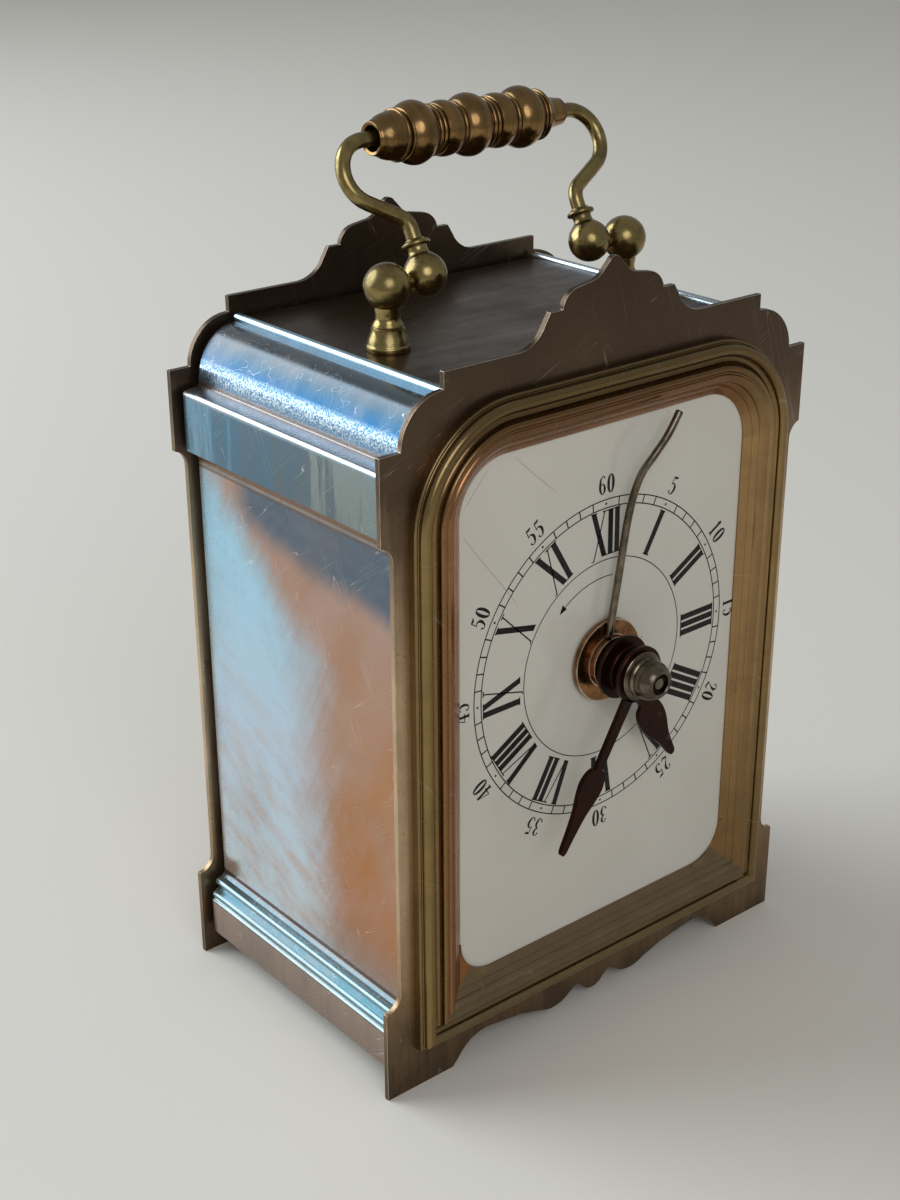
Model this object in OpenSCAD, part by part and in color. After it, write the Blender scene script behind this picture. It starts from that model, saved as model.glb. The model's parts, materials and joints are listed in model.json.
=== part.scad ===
// A small travel alarm clock, about 1900: a thin nickelled case between two scalloped brass plates.
// Units are millimetres. +Z is up, the dial faces -Y, and +X is to the right of someone reading it.
// The origin is on the table, under the middle of the case.

/* [Case] */
// Width across the feet
case_w = 80; // [76:0.5:88]
// Depth from the face of the front plate to the back of the rear plate
case_d = 48.8; // [46:0.2:58]
// Thickness of the front and rear plates
plate_t = 0.8; // [0.6:0.1:1.2]
// Thickness of the sheet of the sides, roof and floor
sheet_t = 0.6; // [0.4:0.1:0.9]
// How far the plates stand out round the sides and roof
border = 1.2; // [0.8:0.1:1.8]
// Gap between the sides and the rear plate
rear_gap = 1.2; // [0.4:0.1:1.6]

/* [Plate outline] */
// How far the waist lies inside the feet, on each side
waist_in = 2.6; // [2:0.1:4]
// How far the cornice lies inside the feet, on each side
cornice_in = 0.7; // [0.3:0.1:1.5]
// Height of the top of each foot's cove
foot_cove_z = 17.2; // [14:0.1:19]
// Height of the cornice's lower corner
cornice_z = 85.4; // [82:0.1:88]
// Height of the cornice's upper corner
cornice_top_z = 96.8; // [94:0.1:98]
// Radius of the quarter round above the cornice
shoulder_r = 6.9; // [5.5:0.1:7.2]
// Height of the step from the quarter round to the pediment's edge
shoulder_step = 2.3; // [1.5:0.1:4]
// Height of the pediment's peak above that edge
peak_h = 10; // [8:0.1:14]
// Radius of the coves beside the feet and under the cornice
cove_r = 2.6; // [1.5:0.1:3]
// Width of each foot
foot_w = 12; // [8:0.1:14]
// Height of the arch beside each foot
arch_h = 4; // [3:0.1:4.6]

/* [Dial and bezel] */
// Height of the hands' centre
centre_z = 57.9; // [56:0.1:60]
// How far the dial's opening lies inside the feet, on each side
open_in = 13.2; // [12.6:0.1:15]
// Height of the opening's lower edge
open_low_z = 15; // [14:0.1:17]
// Height of the opening's upper edge
open_top_z = 93; // [90:0.1:93.6]
// Corner radius at the top of the opening
open_top_r = 8; // [5:0.1:10]
// Corner radius at the bottom of the opening
open_low_r = 6; // [4:0.1:8]
// Width of the bezel's moulding
bezel_w = 8.2; // [7.6:0.1:8.6]
// Height of the bezel's bead above the plate
bezel_h = 2.6; // [2.2:0.1:2.9]
// How far the dial reaches under the bezel
dial_lap = 0.8; // [0.5:0.1:1.2]
// Thickness of the enamelled dial
dial_t = 1.2; // [0.8:0.1:1.6]

/* [Hands] */
// Reach of the minute hand
minute_reach = 27.8; // [24:0.1:30]
// Reach of the hour hand
hour_reach = 20.8; // [17:0.1:22]
// Reach of the alarm pointer
alarm_reach = 37.3; // [34:0.1:38]
// Angle of the minute hand from twelve, clockwise
minute_angle = 210.5; // [0:0.5:360]
// Angle of the hour hand from twelve, clockwise
hour_angle = 148; // [0:0.5:360]
// Angle of the alarm pointer from twelve, clockwise
alarm_angle = 8.5; // [0:0.5:360]
// Radius of the alarm disc
alarm_disc_r = 6.2; // [5:0.1:7]
// Diameter of the alarm pointer's wire
pointer_d = 1.1; // [0.8:0.1:1.3]
// Height of the front of the collet above the front plate
stack_h = 11.6; // [10.8:0.1:13]

/* [Handle] */
// How far the posts stand inside the start of the quarter rounds
post_in = 7.2; // [6.6:0.1:9]
// How far the posts stand in front of the middle of the case
handle_forward = 3.9; // [0:0.1:6]
// Height of the pivots above the roof
pivot_rise = 8.5; // [8.2:0.1:12]
// Radius of the posts' balls
post_ball_r = 3.2; // [2.8:0.1:3.5]
// Radius of the knuckles' balls
knuckle_r = 3; // [2.5:0.1:3.2]
// Gap between the balls of each post and its knuckle
knuckle_gap = 0.5; // [0.4:0.1:1.2]
// How far the balls of the knuckles sit above the pivots
knuckle_lift = 0.6; // [0:0.1:1]
// Length of the handle from the pivots to the grip's axis
handle_len = 19.7; // [18.5:0.1:24]
// Lean of the handle to the rear
handle_lean = 28; // [0:1:60]
// Diameter of the handle's wire
wire_d = 2.1; // [1.8:0.1:2.4]
// Radius of the bend beside the grip
bend_r = 4.5; // [4:0.1:5]
// How far the wire's bends stand outside the knuckles
bend_out = 3.4; // [2.6:0.1:4]
// Room between each end of the grip and the wire's bend
grip_gap = 1.5; // [1:0.1:2]
// Radius of the grip's three swellings
grip_r = 4.35; // [3.8:0.05:4.8]

/* [Movement] */
// Thickness of the movement's plates
mplate_t = 1.4; // [1:0.1:1.8]
// Distance between the movement's plates
mplate_gap = 23.6; // [22.6:0.1:25]
// Room behind the dial for the wheels that drive the hands
motion_gap = 5.2; // [5:0.1:6]
// How far the movement's plates lie inside the feet, on each side
mplate_in = 7; // [6:0.1:7.2]
// Height of the tie rods below the hands' centre
rod_below = 33.9; // [32:0.1:36]
// Height of the tie rods above the hands' centre
rod_above = 32.1; // [30:0.1:33]
// How far the tie rods lie inside the edges of the movement's plates
rod_in = 2; // [1.8:0.1:2.4]
// Radius of the tie rods
rod_r = 1.5; // [1.3:0.1:1.7]
// Radius of the pillars between the movement's plates
pillar_r = 2; // [1.5:0.1:2.4]
// Height of the time spring's barrel
barrel_h = 13; // [10:0.1:14]
// Height of the alarm spring's barrel
alarm_barrel_h = 8.5; // [7:0.1:12]
// Running clearance of every arbor and pipe
run_gap = 0.05; // [0.03:0.01:0.08]

/* [Bell] */
// Radius of the bell
bell_r = 13.5; // [11:0.1:14]
// Depth of the bell
bell_deep = 8; // [6:0.1:9]
// Gap between the resting hammer and the bell
hammer_gap = 0.8; // [0.5:0.1:1.5]

/* [Keys and knobs] */
// How far the keys reach behind the rear plate
key_reach = 11.6; // [10:0.1:13]
// Width of the time key's wings
key_w = 17; // [14:0.5:19]
// Width of the alarm key's wings
alarm_key_w = 15; // [12:0.5:17]
// Radius of the two setting knobs
knob_r = 3.6; // [3:0.1:4.2]

/* [Hidden] */
$fn = 48;

// Front and back faces along Y
face_y = -case_d / 2;
front_in_y = face_y + plate_t;
rear_in_y = case_d / 2 - plate_t;
shell_rear_y = rear_in_y - rear_gap;
back_y = case_d / 2;

// Plate outline
foot_x = case_w / 2;
waist_x = foot_x - waist_in;
cornice_x = foot_x - cornice_in;
shoulder_z = cornice_top_z - 0.2;
shoulder_x = cornice_x - 3.4 - shoulder_r;
edge_low_z = shoulder_z + shoulder_r;
edge_z = edge_low_z + shoulder_step;
peak_z = edge_z + peak_h;
step_x = 9.1;
step_w = 2.2;
step_z = edge_z + 0.43 * peak_h;
lobe_z = 1.2;
notch_x = 3.3;
notch_z = 3.3;
lobe_end_x = 15;
foot_in_x = foot_x - foot_w;

// Sides and roof
side_x = waist_x - border;
plinth_x = foot_x - border;
belt_x = cornice_x - border;
belt_z = cornice_z - 0.4;
belt_top_z = cornice_top_z - 2.8;
quarter_r = shoulder_r - border + 0.2;
roof_bead = 0.7;
bead_w = 1.4;
bead_z = edge_low_z;
roof_z = bead_z - roof_bead;
flange_w = 2.5;
floor_z = 4.2;
base_z = foot_cove_z - 4.3;

// Dial, bezel and the opening of the front plate
open_half_w = foot_x - open_in;
dial_half_w = open_half_w + dial_lap;
dial_low_z = open_low_z - dial_lap;
dial_top_z = open_top_z + dial_lap;
dial_back_y = face_y + dial_t;
hole_gap = 0.2;
lip_w = 3.2;
lip_t = 0.3;
dial_foot_r = 0.8;
dial_feet_at = [[-20, -28], [20, -28], [0, 28.5]];

// Movement plates and the spaces between them
mfront_y = dial_back_y + motion_gap;
train_y = mfront_y + mplate_t;
mrear_y = train_y + mplate_gap;
rear_room_y = mrear_y + mplate_t;
mplate_half_w = case_w / 2 - mplate_in;
rod_x = mplate_half_w - rod_in;
mplate_low_z = centre_z - rod_below - 3;
mplate_top_z = centre_z + rod_above + 3;
pillar_x = mplate_half_w - 4.5;
pillar_at = [[1.5 - pillar_x, -28], [pillar_x - 0.5, -30], [-pillar_x, 13], [pillar_x, 24]];
shoulder_rod_r = rod_r + 0.9;
nut_h = 1.8;
screw_r = 0.8;
screw_head_r = 1.9;
screw_head_h = 1.1;
fit_gap = 0.02;

// Pipes of the hands, from the centre outwards
arbor_r = 0.8;
cannon_r = 1.5;
hour_pipe_r = 2.1;
alarm_pipe_r = 2.8;
dial_hole_r = alarm_pipe_r + 0.4;

// Layers of the wheels behind the dial
cannon_layer = [mfront_y - 1.5, mfront_y - 0.5];
hour_layer = [mfront_y - 3.1, mfront_y - 2.2];
alarm_layer = [mfront_y - 4.7, mfront_y - 3.8];

// Heights of the hands above the front plate
disc_h = [0.3, 1.2];
disc_boss_h = 2.4;
hour_h = [3.6, 4.3];
hour_boss_h = 5.4;
minute_h = [6.8, 7.5];
pointer_h = disc_h[1] + pointer_d / 2;
pointer_over_h = bezel_h + pointer_d / 2 + 0.25;

// Teeth: sizes are the pitch diameter of one tooth
motion_m = 0.5;
cannon_n = 12;
minute_n = 36;
minute_pinion_n = 10;
hour_n = 40;
hour_m = motion_m * (cannon_n + minute_n) / (minute_pinion_n + hour_n);
alarm_n = 48;
alarm_pinion_n = 16;
barrel_m = 0.42;
barrel_n = 72;
centre_pinion_n = 8;
centre_m = 0.35;
centre_n = 64;
third_pinion_n = 8;
third_m = 0.32;
third_n = 60;
fourth_pinion_n = 8;
fourth_m = 0.28;
fourth_n = 60;
escape_pinion_n = 7;
alarm_barrel_n = 54;
strike_pinion_n = 8;
strike_n = 20;
strike_r = 6.4;
escape_n = 15;
escape_r = 4.2;

// Centres of the wheels from the hands' centre, by direction from the wheel that each meshes with
function polar(r, a) = [r * cos(a), r * sin(a)];
function mesh_r(m, a, b) = m * (a + b) / 2;
function wider(layer, d) = [layer[0] - d, layer[1] + d];
barrel_dir = 222;
barrel_c = polar(mesh_r(barrel_m, barrel_n, centre_pinion_n), barrel_dir);
third_dir = 60;
third_c = polar(mesh_r(centre_m, centre_n, third_pinion_n), third_dir);
fourth_dir = 150;
fourth_c = third_c + polar(mesh_r(third_m, third_n, fourth_pinion_n), fourth_dir);
escape_dir = 168;
escape_c = fourth_c + polar(mesh_r(fourth_m, fourth_n, escape_pinion_n), escape_dir);
lever_dir = 100;
lever_c = escape_c + polar(6.6, lever_dir);
balance_c = lever_c + polar(8.4, 165);
balance_r = 5.6;
roller_r = 1.5;
minute_dir = 300;
minute_c = polar(mesh_r(motion_m, cannon_n, minute_n), minute_dir);
alarm_set_dir = 160;
alarm_set_c = polar(mesh_r(motion_m, alarm_n, alarm_pinion_n), alarm_set_dir);
alarm_barrel_c = [18, -14];
strike_dir = 80;
strike_c = alarm_barrel_c + polar(mesh_r(barrel_m, alarm_barrel_n, strike_pinion_n), strike_dir);
hammer_c = [24.5, 9.5];
bell_c = [6, 22];
hammer_head_r = 1.8;
hammer_head_dir = 10;
stop_c = [-2, 30];
stop_arm = 8;
stop_pin_r = 0.7;
regulator_pin_r = 0.5;
lever_swing = 18;
slot_room = 0.6;

// Layers between the movement's plates
barrel_layer = [train_y + 4.4, train_y + 5.4];
centre_layer = [train_y + 1, train_y + 1.8];
third_layer = [train_y + 7, train_y + 7.7];
fourth_layer = [train_y + 12.5, train_y + 13.1];
escape_layer = [train_y + 17.2, train_y + 17.7];
lever_layer = [train_y + 18.2, train_y + 18.8];
balance_layer = [train_y + 20.2, train_y + 21.2];
time_drum = [barrel_layer[1], barrel_layer[1] + barrel_h];
alarm_drum = [barrel_layer[1], barrel_layer[1] + alarm_barrel_h];
strike_layer = [alarm_drum[1] + 0.9, alarm_drum[1] + 1.7];

// Handle
pivot = [0, -handle_forward, roof_z + pivot_rise];
post_x = shoulder_x - post_in;
knuckle_x = post_x - post_ball_r - knuckle_r - knuckle_gap;
bend_x = knuckle_x + bend_out;
grip_half = bend_x - grip_gap;
knuckle_bore_r = 0.9;
post_base_r = 3.05;
post_neck_r = 1.7;
shank_r = 1.2;
foot_bend_r = 2.5;
collar_top = 4.8;
joint_swell = 0.02;
sleeve_h = 0.4;

// Outline helpers
function arc(c, r, a, b, n) = [for (i = [0:n]) c + polar(r, a + (b - a) * i / n)];
function mirrored(p) = [for (i = [len(p) - 1:-1:0]) [-p[i][0], p[i][1]]];
function norm_of(a, b) = let(d = b - a) [d[1], -d[0]] / norm(d);
function inset(p, t) = [
    for (i = [0:len(p) - 1])
        let(
            a = norm_of(p[max(i - 1, 0)], p[max(i, 1)]),
            b = norm_of(p[min(i, len(p) - 2)], p[min(i + 1, len(p) - 1)]),
            m = (a + b) / norm(a + b)
        )
        p[i] - m * t / max(m * b, 0.5)
];

// Right half of the plates' outline, from the peak down to the middle of the bottom edge
pediment_pts = concat(
    arc([0, peak_z - 1.2], 1.2, 90, 30, 4),
    arc([4.6, peak_z + 0.6], 3.4, 218, 268, 5),
    arc([6.1, step_z - 0.6], 3.2, 84, 20, 5),
    [[step_x, step_z], [step_x + step_w, step_z]],
    arc([step_x + step_w + 5.4, edge_z + 5], 5, 204, 268, 6),
    [[shoulder_x, edge_z]]
);
flank_pts = concat(
    arc([shoulder_x, shoulder_z], shoulder_r, 90, 2, 10),
    [[cornice_x - 3.4, cornice_top_z], [cornice_x, cornice_top_z], [cornice_x, cornice_z]],
    arc([waist_x + cove_r, cornice_z - cove_r - 0.4], cove_r, 105, 180, 6),
    arc([waist_x + cove_r, foot_cove_z], cove_r, 180, 268, 6),
    [[foot_x, foot_cove_z - cove_r - 0.4], [foot_x, 0], [foot_in_x, 0]]
);
bottom_pts = concat(
    arc([foot_in_x - 6.2, arch_h - 6], 6, 40, 100, 8),
    [[lobe_end_x, arch_h - 0.9]],
    arc([8.2, lobe_z + 5.5], 5.5, 300, 246, 6),
    [[notch_x, notch_z]],
    arc([0, lobe_z + 2.6], 2.6, 318, 270, 4)
);
half_pts = concat(pediment_pts, flank_pts, bottom_pts);
plate_pts = concat(half_pts, mirrored(half_pts));

// Right side sheet, from its foot up to the roof: its outer face and its plainer inner face
belt_r = belt_x - side_x;
base_pts = concat(
    [[plinth_x, floor_z], [plinth_x, base_z - 2.8]],
    arc([plinth_x - 0.8, base_z - 2.1], 0.7, -50, 80, 5),
    [[plinth_x - 1.1, base_z - 1.1], [plinth_x - 1.3, base_z - 0.8]],
    arc([plinth_x - 1.4, base_z], 0.6, -55, 85, 5),
    arc([side_x + 1.1, base_z + 1.8], 1.1, 262, 180, 4)
);
belt_pts = concat(
    arc([belt_x, belt_z - belt_r], belt_r, 180, 90, 4),
    [[belt_x, belt_top_z - 0.4], [belt_x - 0.4, belt_top_z], [shoulder_x + quarter_r, belt_top_z + 0.8]],
    arc([shoulder_x, bead_z - 1.2 - quarter_r], quarter_r, 4, 88, 10)
);
side_pts = concat(base_pts, belt_pts);
inner_pts = inset(concat(
    [[plinth_x, floor_z], [plinth_x, base_z - 3], [side_x, base_z + 0.7]], belt_pts
), sheet_t);
// The bead along the roof's edge, and the flange that the roof lies on
bead_pts = concat(
    arc([shoulder_x - bead_w / 2, bead_z - bead_w / 2], bead_w / 2, -30, 180, 9),
    [[shoulder_x - bead_w, roof_z - sheet_t], [shoulder_x - bead_w - flange_w, roof_z - sheet_t]],
    [[shoulder_x - bead_w - flange_w, roof_z - 2 * sheet_t]]
);

// Small building blocks
module slab(y0, y1) {
    translate([0, y1, 0]) rotate([90, 0, 0]) linear_extrude(y1 - y0) children();
}

module rod(c, r, y0, y1) {
    translate([c[0], y1, centre_z + c[1]]) rotate([90, 0, 0]) cylinder(r = r, h = y1 - y0);
}

module cone(c, r0, r1, y0, y1) {
    translate([c[0], y1, centre_z + c[1]]) rotate([90, 0, 0]) cylinder(r1 = r1, r2 = r0, h = y1 - y0);
}

module rounded(half_w, low, top, r_low, r_top) {
    polygon(concat(
        arc([half_w - r_low, low + r_low], r_low, -90, 0, 8),
        arc([half_w - r_top, top - r_top], r_top, 0, 90, 8),
        arc([r_top - half_w, top - r_top], r_top, 90, 180, 8),
        arc([r_low - half_w, low + r_low], r_low, 180, 270, 8)
    ));
}

// Points of a toothed wheel: tooth 0 is centred on the direction phase
function tooth_pts(m, n, phase, tip, root) =
    let(r = m * n / 2, half = 90 / n)
    [for (i = [0:n - 1]) for (k = [0:3])
        polar(k == 0 || k == 3 ? r - root * m : r + tip * m,
            phase + i * 360 / n + [-1.12, -0.36, 0.36, 1.12][k] * half)];

module toothed(c, m, n, phase, layer, tip = 0.8, root = 1.15) {
    slab(layer[0], layer[1]) translate([c[0], centre_z + c[1]]) polygon(tooth_pts(m, n, phase, tip, root));
}

// Direction of a tooth of wheel b that puts it in mesh with wheel a
function mesh_phase(dir, na, phase_a, nb) = dir + 180 - (phase_a - dir) * na / nb + 180 / nb;

// Openings between a wheel's spokes
module spokes(c, r_in, r_out, n, layer, half_spoke = 0.7) {
    for (i = [0:n - 1]) {
        a = asin(half_spoke / r_in);
        b = asin(half_spoke / r_out);
        slab(layer[0] - 1, layer[1] + 1) translate([c[0], centre_z + c[1]]) polygon(concat(
            arc([0, 0], r_in, i * 360 / n + a, (i + 1) * 360 / n - a, 6),
            arc([0, 0], r_out, (i + 1) * 360 / n - b, i * 360 / n + b, 8)
        ));
    }
}

// A flat spiral spring
module spiral(c, r_in, r_out, turns, thick, layer, steps = 16) {
    n = turns * steps;
    function at(i, d) = polar(r_in + (r_out - r_in) * i / n + d, 360 * i / steps);
    slab(layer[0], layer[1]) translate([c[0], centre_z + c[1]]) polygon(concat(
        [for (i = [0:n]) at(i, 0)],
        [for (i = [n:-1:0]) at(i, thick)]
    ));
}

// Case
module outline_plate(y0) {
    slab(y0, y0 + plate_t) polygon(plate_pts);
}

module front_plate() {
    color("#5d4e3c") difference() {
        outline_plate(face_y);
        slab(face_y - 1, front_in_y + 1)
            rounded(dial_half_w + hole_gap, dial_low_z - hole_gap, dial_top_z + hole_gap,
                open_low_r + dial_lap, open_top_r + dial_lap);
    }
}

module rear_plate() {
    color("#5d4e3c") difference() {
        outline_plate(rear_in_y);
        for (c = [barrel_c, alarm_barrel_c]) rod(c, 2.6, rear_in_y - 1, back_y + 1);
        rod([0, 0], 1.6, rear_in_y - 1, back_y + 1);
        rod(alarm_set_c, 1.6, rear_in_y - 1, back_y + 1);
        rod_places() rod([0, 0], screw_r + 0.15, rear_in_y - 1, back_y + 1);
        slot_hole(balance_c, balance_c + regulator_reach(), regulator_pin_r);
        slot_hole(stop_c, stop_c + [0, stop_arm], stop_pin_r);
    }
}

// A curved slot in the rear plate for a pin at p that swings about c, with room on all sides
module slot_hole(c, p, pin_r) {
    r = norm(p - c);
    d = atan2(p[1] - c[1], p[0] - c[0]);
    half = pin_r + slot_room;
    a = lever_swing + asin(half / r);
    slab(rear_in_y - 1, back_y + 1) translate([c[0], centre_z + c[1]]) polygon(concat(
        arc([0, 0], r + half, d - a, d + a, 10),
        arc([0, 0], r - half, d + a, d - a, 10)
    ));
}

module side_sheet() {
    slab(front_in_y, shell_rear_y) polygon(concat(side_pts, bead_pts,
        [for (i = [len(inner_pts) - 1:-1:0]) inner_pts[i]]));
}

module side_right() {
    color("#b9bdc2") side_sheet();
}

module side_left() {
    color("#b9bdc2") mirror([1, 0, 0]) side_sheet();
}

module roof() {
    half = shoulder_x - bead_w;
    color("#6e6258") difference() {
        translate([-half, front_in_y, roof_z - sheet_t]) cube([2 * half, shell_rear_y - front_in_y, sheet_t]);
        for (s = [-1, 1]) translate([s * post_x, pivot[1], roof_z - 2])
            cylinder(r = shank_r + fit_gap, h = 4);
    }
}

module floor_plate() {
    half = plinth_x - sheet_t;
    color("#8d8579") translate([-half, front_in_y, floor_z])
        cube([2 * half, shell_rear_y - front_in_y, sheet_t]);
}

// The bezel's section: distance out from the opening, height above the plate
bezel_pts = let(
    crest_w = lip_w + 1.6, bead_r = (bezel_w - crest_w - 1.9) / 2, bead_c = bezel_w - 0.4 - bead_r
) concat(
    [[0, 0], [0, lip_t], [lip_w, bezel_h - 0.35], [lip_w + 0.35, bezel_h - 0.6]],
    [[lip_w + 0.7, bezel_h - 0.2], [lip_w + 1.1, bezel_h], [crest_w, bezel_h - 0.15]],
    arc([crest_w + 1, bezel_h - 0.3], 1, 190, 350, 7),
    arc([bead_c, bezel_h - bead_r], bead_r, 160, 0, 8),
    [[bezel_w - 0.4, 0.7], [bezel_w, 0.5], [bezel_w, 0]]
);

module bezel_rail(length) {
    rotate([90, 0, 90]) linear_extrude(length) polygon(bezel_pts);
}

module bezel_corner(r) {
    rotate_extrude(angle = 90) translate([r, 0]) polygon(bezel_pts);
}

module bezel_flat() {
    top_c = [open_half_w - open_top_r, open_top_z - open_top_r];
    difference() {
        union() {
            translate([-top_c[0], open_top_z, 0]) bezel_rail(2 * top_c[0]);
            for (s = [0, 1]) mirror([s, 0, 0]) {
                translate([top_c[0], top_c[1], 0]) bezel_corner(open_top_r);
                intersection() {
                    translate([open_half_w, top_c[1], 0]) rotate([0, 0, -90])
                        bezel_rail(top_c[1] - open_low_z + bezel_w);
                    mitre_side();
                }
            }
            difference() {
                translate([open_half_w + bezel_w, open_low_z, 0]) rotate([0, 0, 180])
                    bezel_rail(2 * (open_half_w + bezel_w));
                for (s = [0, 1]) mirror([s, 0, 0]) mitre_side();
            }
            for (s = [0, 1]) mirror([s, 0, 0]) corner_web();
        }
    }
}

// Everything outside the mitre of the right lower corner
module mitre_side() {
    reach = bezel_w + 1;
    translate([0, 0, -1]) linear_extrude(bezel_h + 2) polygon([
        [open_half_w - 1, open_low_z + 1], [open_half_w + reach, open_low_z - reach],
        [open_half_w + reach, open_top_z], [open_half_w - 1, open_top_z]
    ]);
}

// The web that rounds the opening's lower corner
module corner_web() {
    c = [open_half_w - open_low_r, open_low_z + open_low_r];
    r = open_low_r;
    difference() {
        translate([c[0], c[1] - r - lip_w, 0]) cube([r + lip_w, r + lip_w, bezel_h - 0.35]);
        translate([c[0], c[1], -1]) cylinder(r = r, h = bezel_h + 2);
        translate([c[0], c[1], lip_t]) cylinder(r1 = r, r2 = r + lip_w, h = bezel_h - 0.35 - lip_t);
        translate([c[0], c[1], bezel_h - 0.35]) cylinder(r = r + lip_w, h = 1);
    }
}

module bezel() {
    color("#8a6a3c") translate([0, face_y, 0]) rotate([90, 0, 0]) bezel_flat();
}

module dial() {
    color("#e9e8e2") difference() {
        slab(face_y, dial_back_y) rounded(dial_half_w, dial_low_z, dial_top_z,
            open_low_r + dial_lap - hole_gap, open_top_r + dial_lap - hole_gap);
        rod([0, 0], dial_hole_r, face_y - 1, dial_back_y + 1);
    }
}

module dial_feet() {
    color("#a0643c") for (c = dial_feet_at) rod(c, dial_foot_r, dial_back_y, train_y);
}

// Tie rods, with their shoulders against the movement's front plate
module rod_places() {
    for (s = [-1, 1]) for (z = [-rod_below, rod_above]) translate([s * rod_x, 0, z]) children();
}

module tie_rods() {
    color("#b08d57") rod_places() difference() {
        union() {
            rod([0, 0], shoulder_rod_r, front_in_y, mfront_y);
            rod([0, 0], rod_r, mfront_y, rear_in_y);
        }
        rod([0, 0], screw_r + fit_gap, rear_in_y - 6, rear_in_y + 1);
    }
}

module rod_nuts() {
    color("#b08d57") rod_places() difference() {
        translate([0, rear_room_y + nut_h, centre_z]) rotate([90, 0, 0])
            cylinder(r = rod_r + 1.5, h = nut_h, $fn = 6);
        rod([0, 0], rod_r + fit_gap, rear_room_y - 1, rear_room_y + nut_h + 1);
    }
}

module rear_screws() {
    color("#4b5866") rod_places() difference() {
        union() {
            rod([0, 0], screw_r, rear_in_y - 5, back_y);
            cone([0, 0], screw_head_r, screw_head_r - 0.5, back_y, back_y + screw_head_h);
        }
        translate([-screw_head_r, back_y + screw_head_h - 0.5, centre_z - 0.25])
            cube([2 * screw_head_r, 1, 0.5]);
    }
}

// Handle
module post(s) {
    color("#8c7a52") translate([s * post_x, pivot[1], roof_z]) {
        difference() {
            union() {
                rotate_extrude() polygon(concat(
                    [[0, 0], [post_base_r, 0], [post_base_r, 0.7]],
                    arc([post_base_r + 1.6, 2.6], 2.3, 236, 176, 5),
                    [[post_neck_r + 0.45, 3.1], [post_neck_r + 0.45, 3.5], [post_neck_r + 0.1, 3.7]],
                    [[post_neck_r + 0.2, 4.1], [post_neck_r, 4.6]],
                    [[post_neck_r, pivot_rise - 1.5], [0, pivot_rise - 1.5]]
                ));
                translate([0, 0, pivot_rise]) sphere(r = post_ball_r);
                translate([0, 0, -sheet_t - 3.2]) cylinder(r = shank_r, h = 4);
            }
            translate([0, 0, pivot_rise]) rotate([0, -s * 90, 0])
                cylinder(r = knuckle_bore_r, h = post_ball_r + 1);
        }
    }
}

module posts() {
    for (s = [-1, 1]) post(s);
}

module post_nuts() {
    nut_z = roof_z - sheet_t - nut_h;
    color("#8c7a52") for (s = [-1, 1]) translate([s * post_x, pivot[1], nut_z]) difference() {
        cylinder(r = 2.6, h = nut_h, $fn = 6);
        translate([0, 0, -1]) cylinder(r = shank_r + fit_gap, h = 4);
    }
}

module handle_pins() {
    color("#8c7a52") for (s = [-1, 1]) translate(pivot + [s * post_x, 0, 0])
        rotate([0, -s * 90, 0]) cylinder(r = knuckle_bore_r, h = post_x - knuckle_x + 1.6);
}

// Everything that folds is drawn upright and then leant back
module leant() {
    translate(pivot) rotate([-handle_lean, 0, 0]) children();
}

module knuckle(s) {
    color("#8c7a52") leant() translate([s * knuckle_x, 0, 0]) difference() {
        union() {
            translate([0, 0, knuckle_lift]) sphere(r = knuckle_r);
            translate([0, 0, knuckle_lift]) rotate_extrude() polygon([
                [0, 1], [2, 2.1], [1.6, 2.75], [1.35, 3.3], [1.35, collar_top - 1], [1.8, collar_top - 0.85],
                [1.95, collar_top - 0.5], [1.8, collar_top - 0.15], [1.35, collar_top], [0, collar_top]
            ]);
        }
        rotate([0, 90, 0]) cylinder(r = knuckle_bore_r + run_gap, h = 20, center = true);
    }
}

module knuckles() {
    for (s = [-1, 1]) knuckle(s);
}

// One side of the handle's wire, from its knuckle to the end of the straight run through the grip
module half_wire() {
    r = wire_d / 2;
    foot_top = knuckle_lift + collar_top;
    bend_c = [bend_x, handle_len - bend_r];
    foot_c = [knuckle_x + foot_bend_r, foot_top + r + 0.2];
    apart = foot_c - bend_c;
    bend_end = -atan2(apart[1], apart[0]) - acos((bend_r + foot_bend_r) / norm(apart));
    slope_len = sqrt(apart * apart - pow(bend_r + foot_bend_r, 2));
    slope_start = bend_c + polar(bend_r, -bend_end);
    slope_end = foot_c + polar(foot_bend_r, 180 - bend_end);
    translate([bend_c[0], 0, bend_c[1]]) rotate([90, 0, 0])
        rotate_extrude(angle = 90 + bend_end, start = -bend_end) translate([bend_r, 0]) circle(r = r);
    translate([slope_end[0], 0, slope_end[1]]) rotate([0, bend_end, 0]) cylinder(r = r, h = slope_len);
    translate([foot_c[0], 0, foot_c[1]]) rotate([90, 0, 0])
        rotate_extrude(angle = bend_end, start = 180 - bend_end) translate([foot_bend_r, 0]) circle(r = r);
    translate([knuckle_x, 0, foot_top]) cylinder(r = r, h = foot_c[1] - foot_top);
    // Short sleeves join the runs
    foot_end = [knuckle_x, foot_c[1]];
    for (p = [[[bend_x, handle_len], 90], [slope_start, bend_end], [slope_end, bend_end], [foot_end, 0]])
        translate([p[0][0], 0, p[0][1]]) rotate([0, p[1], 0])
            cylinder(r = r + joint_swell, h = sleeve_h, center = true);
}

module handle_wire() {
    color("#8c7a52") leant() {
        for (s = [0, 1]) mirror([s, 0, 0]) half_wire();
        translate([-bend_x, 0, handle_len]) rotate([0, 90, 0]) cylinder(r = wire_d / 2, h = 2 * bend_x);
    }
}

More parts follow.
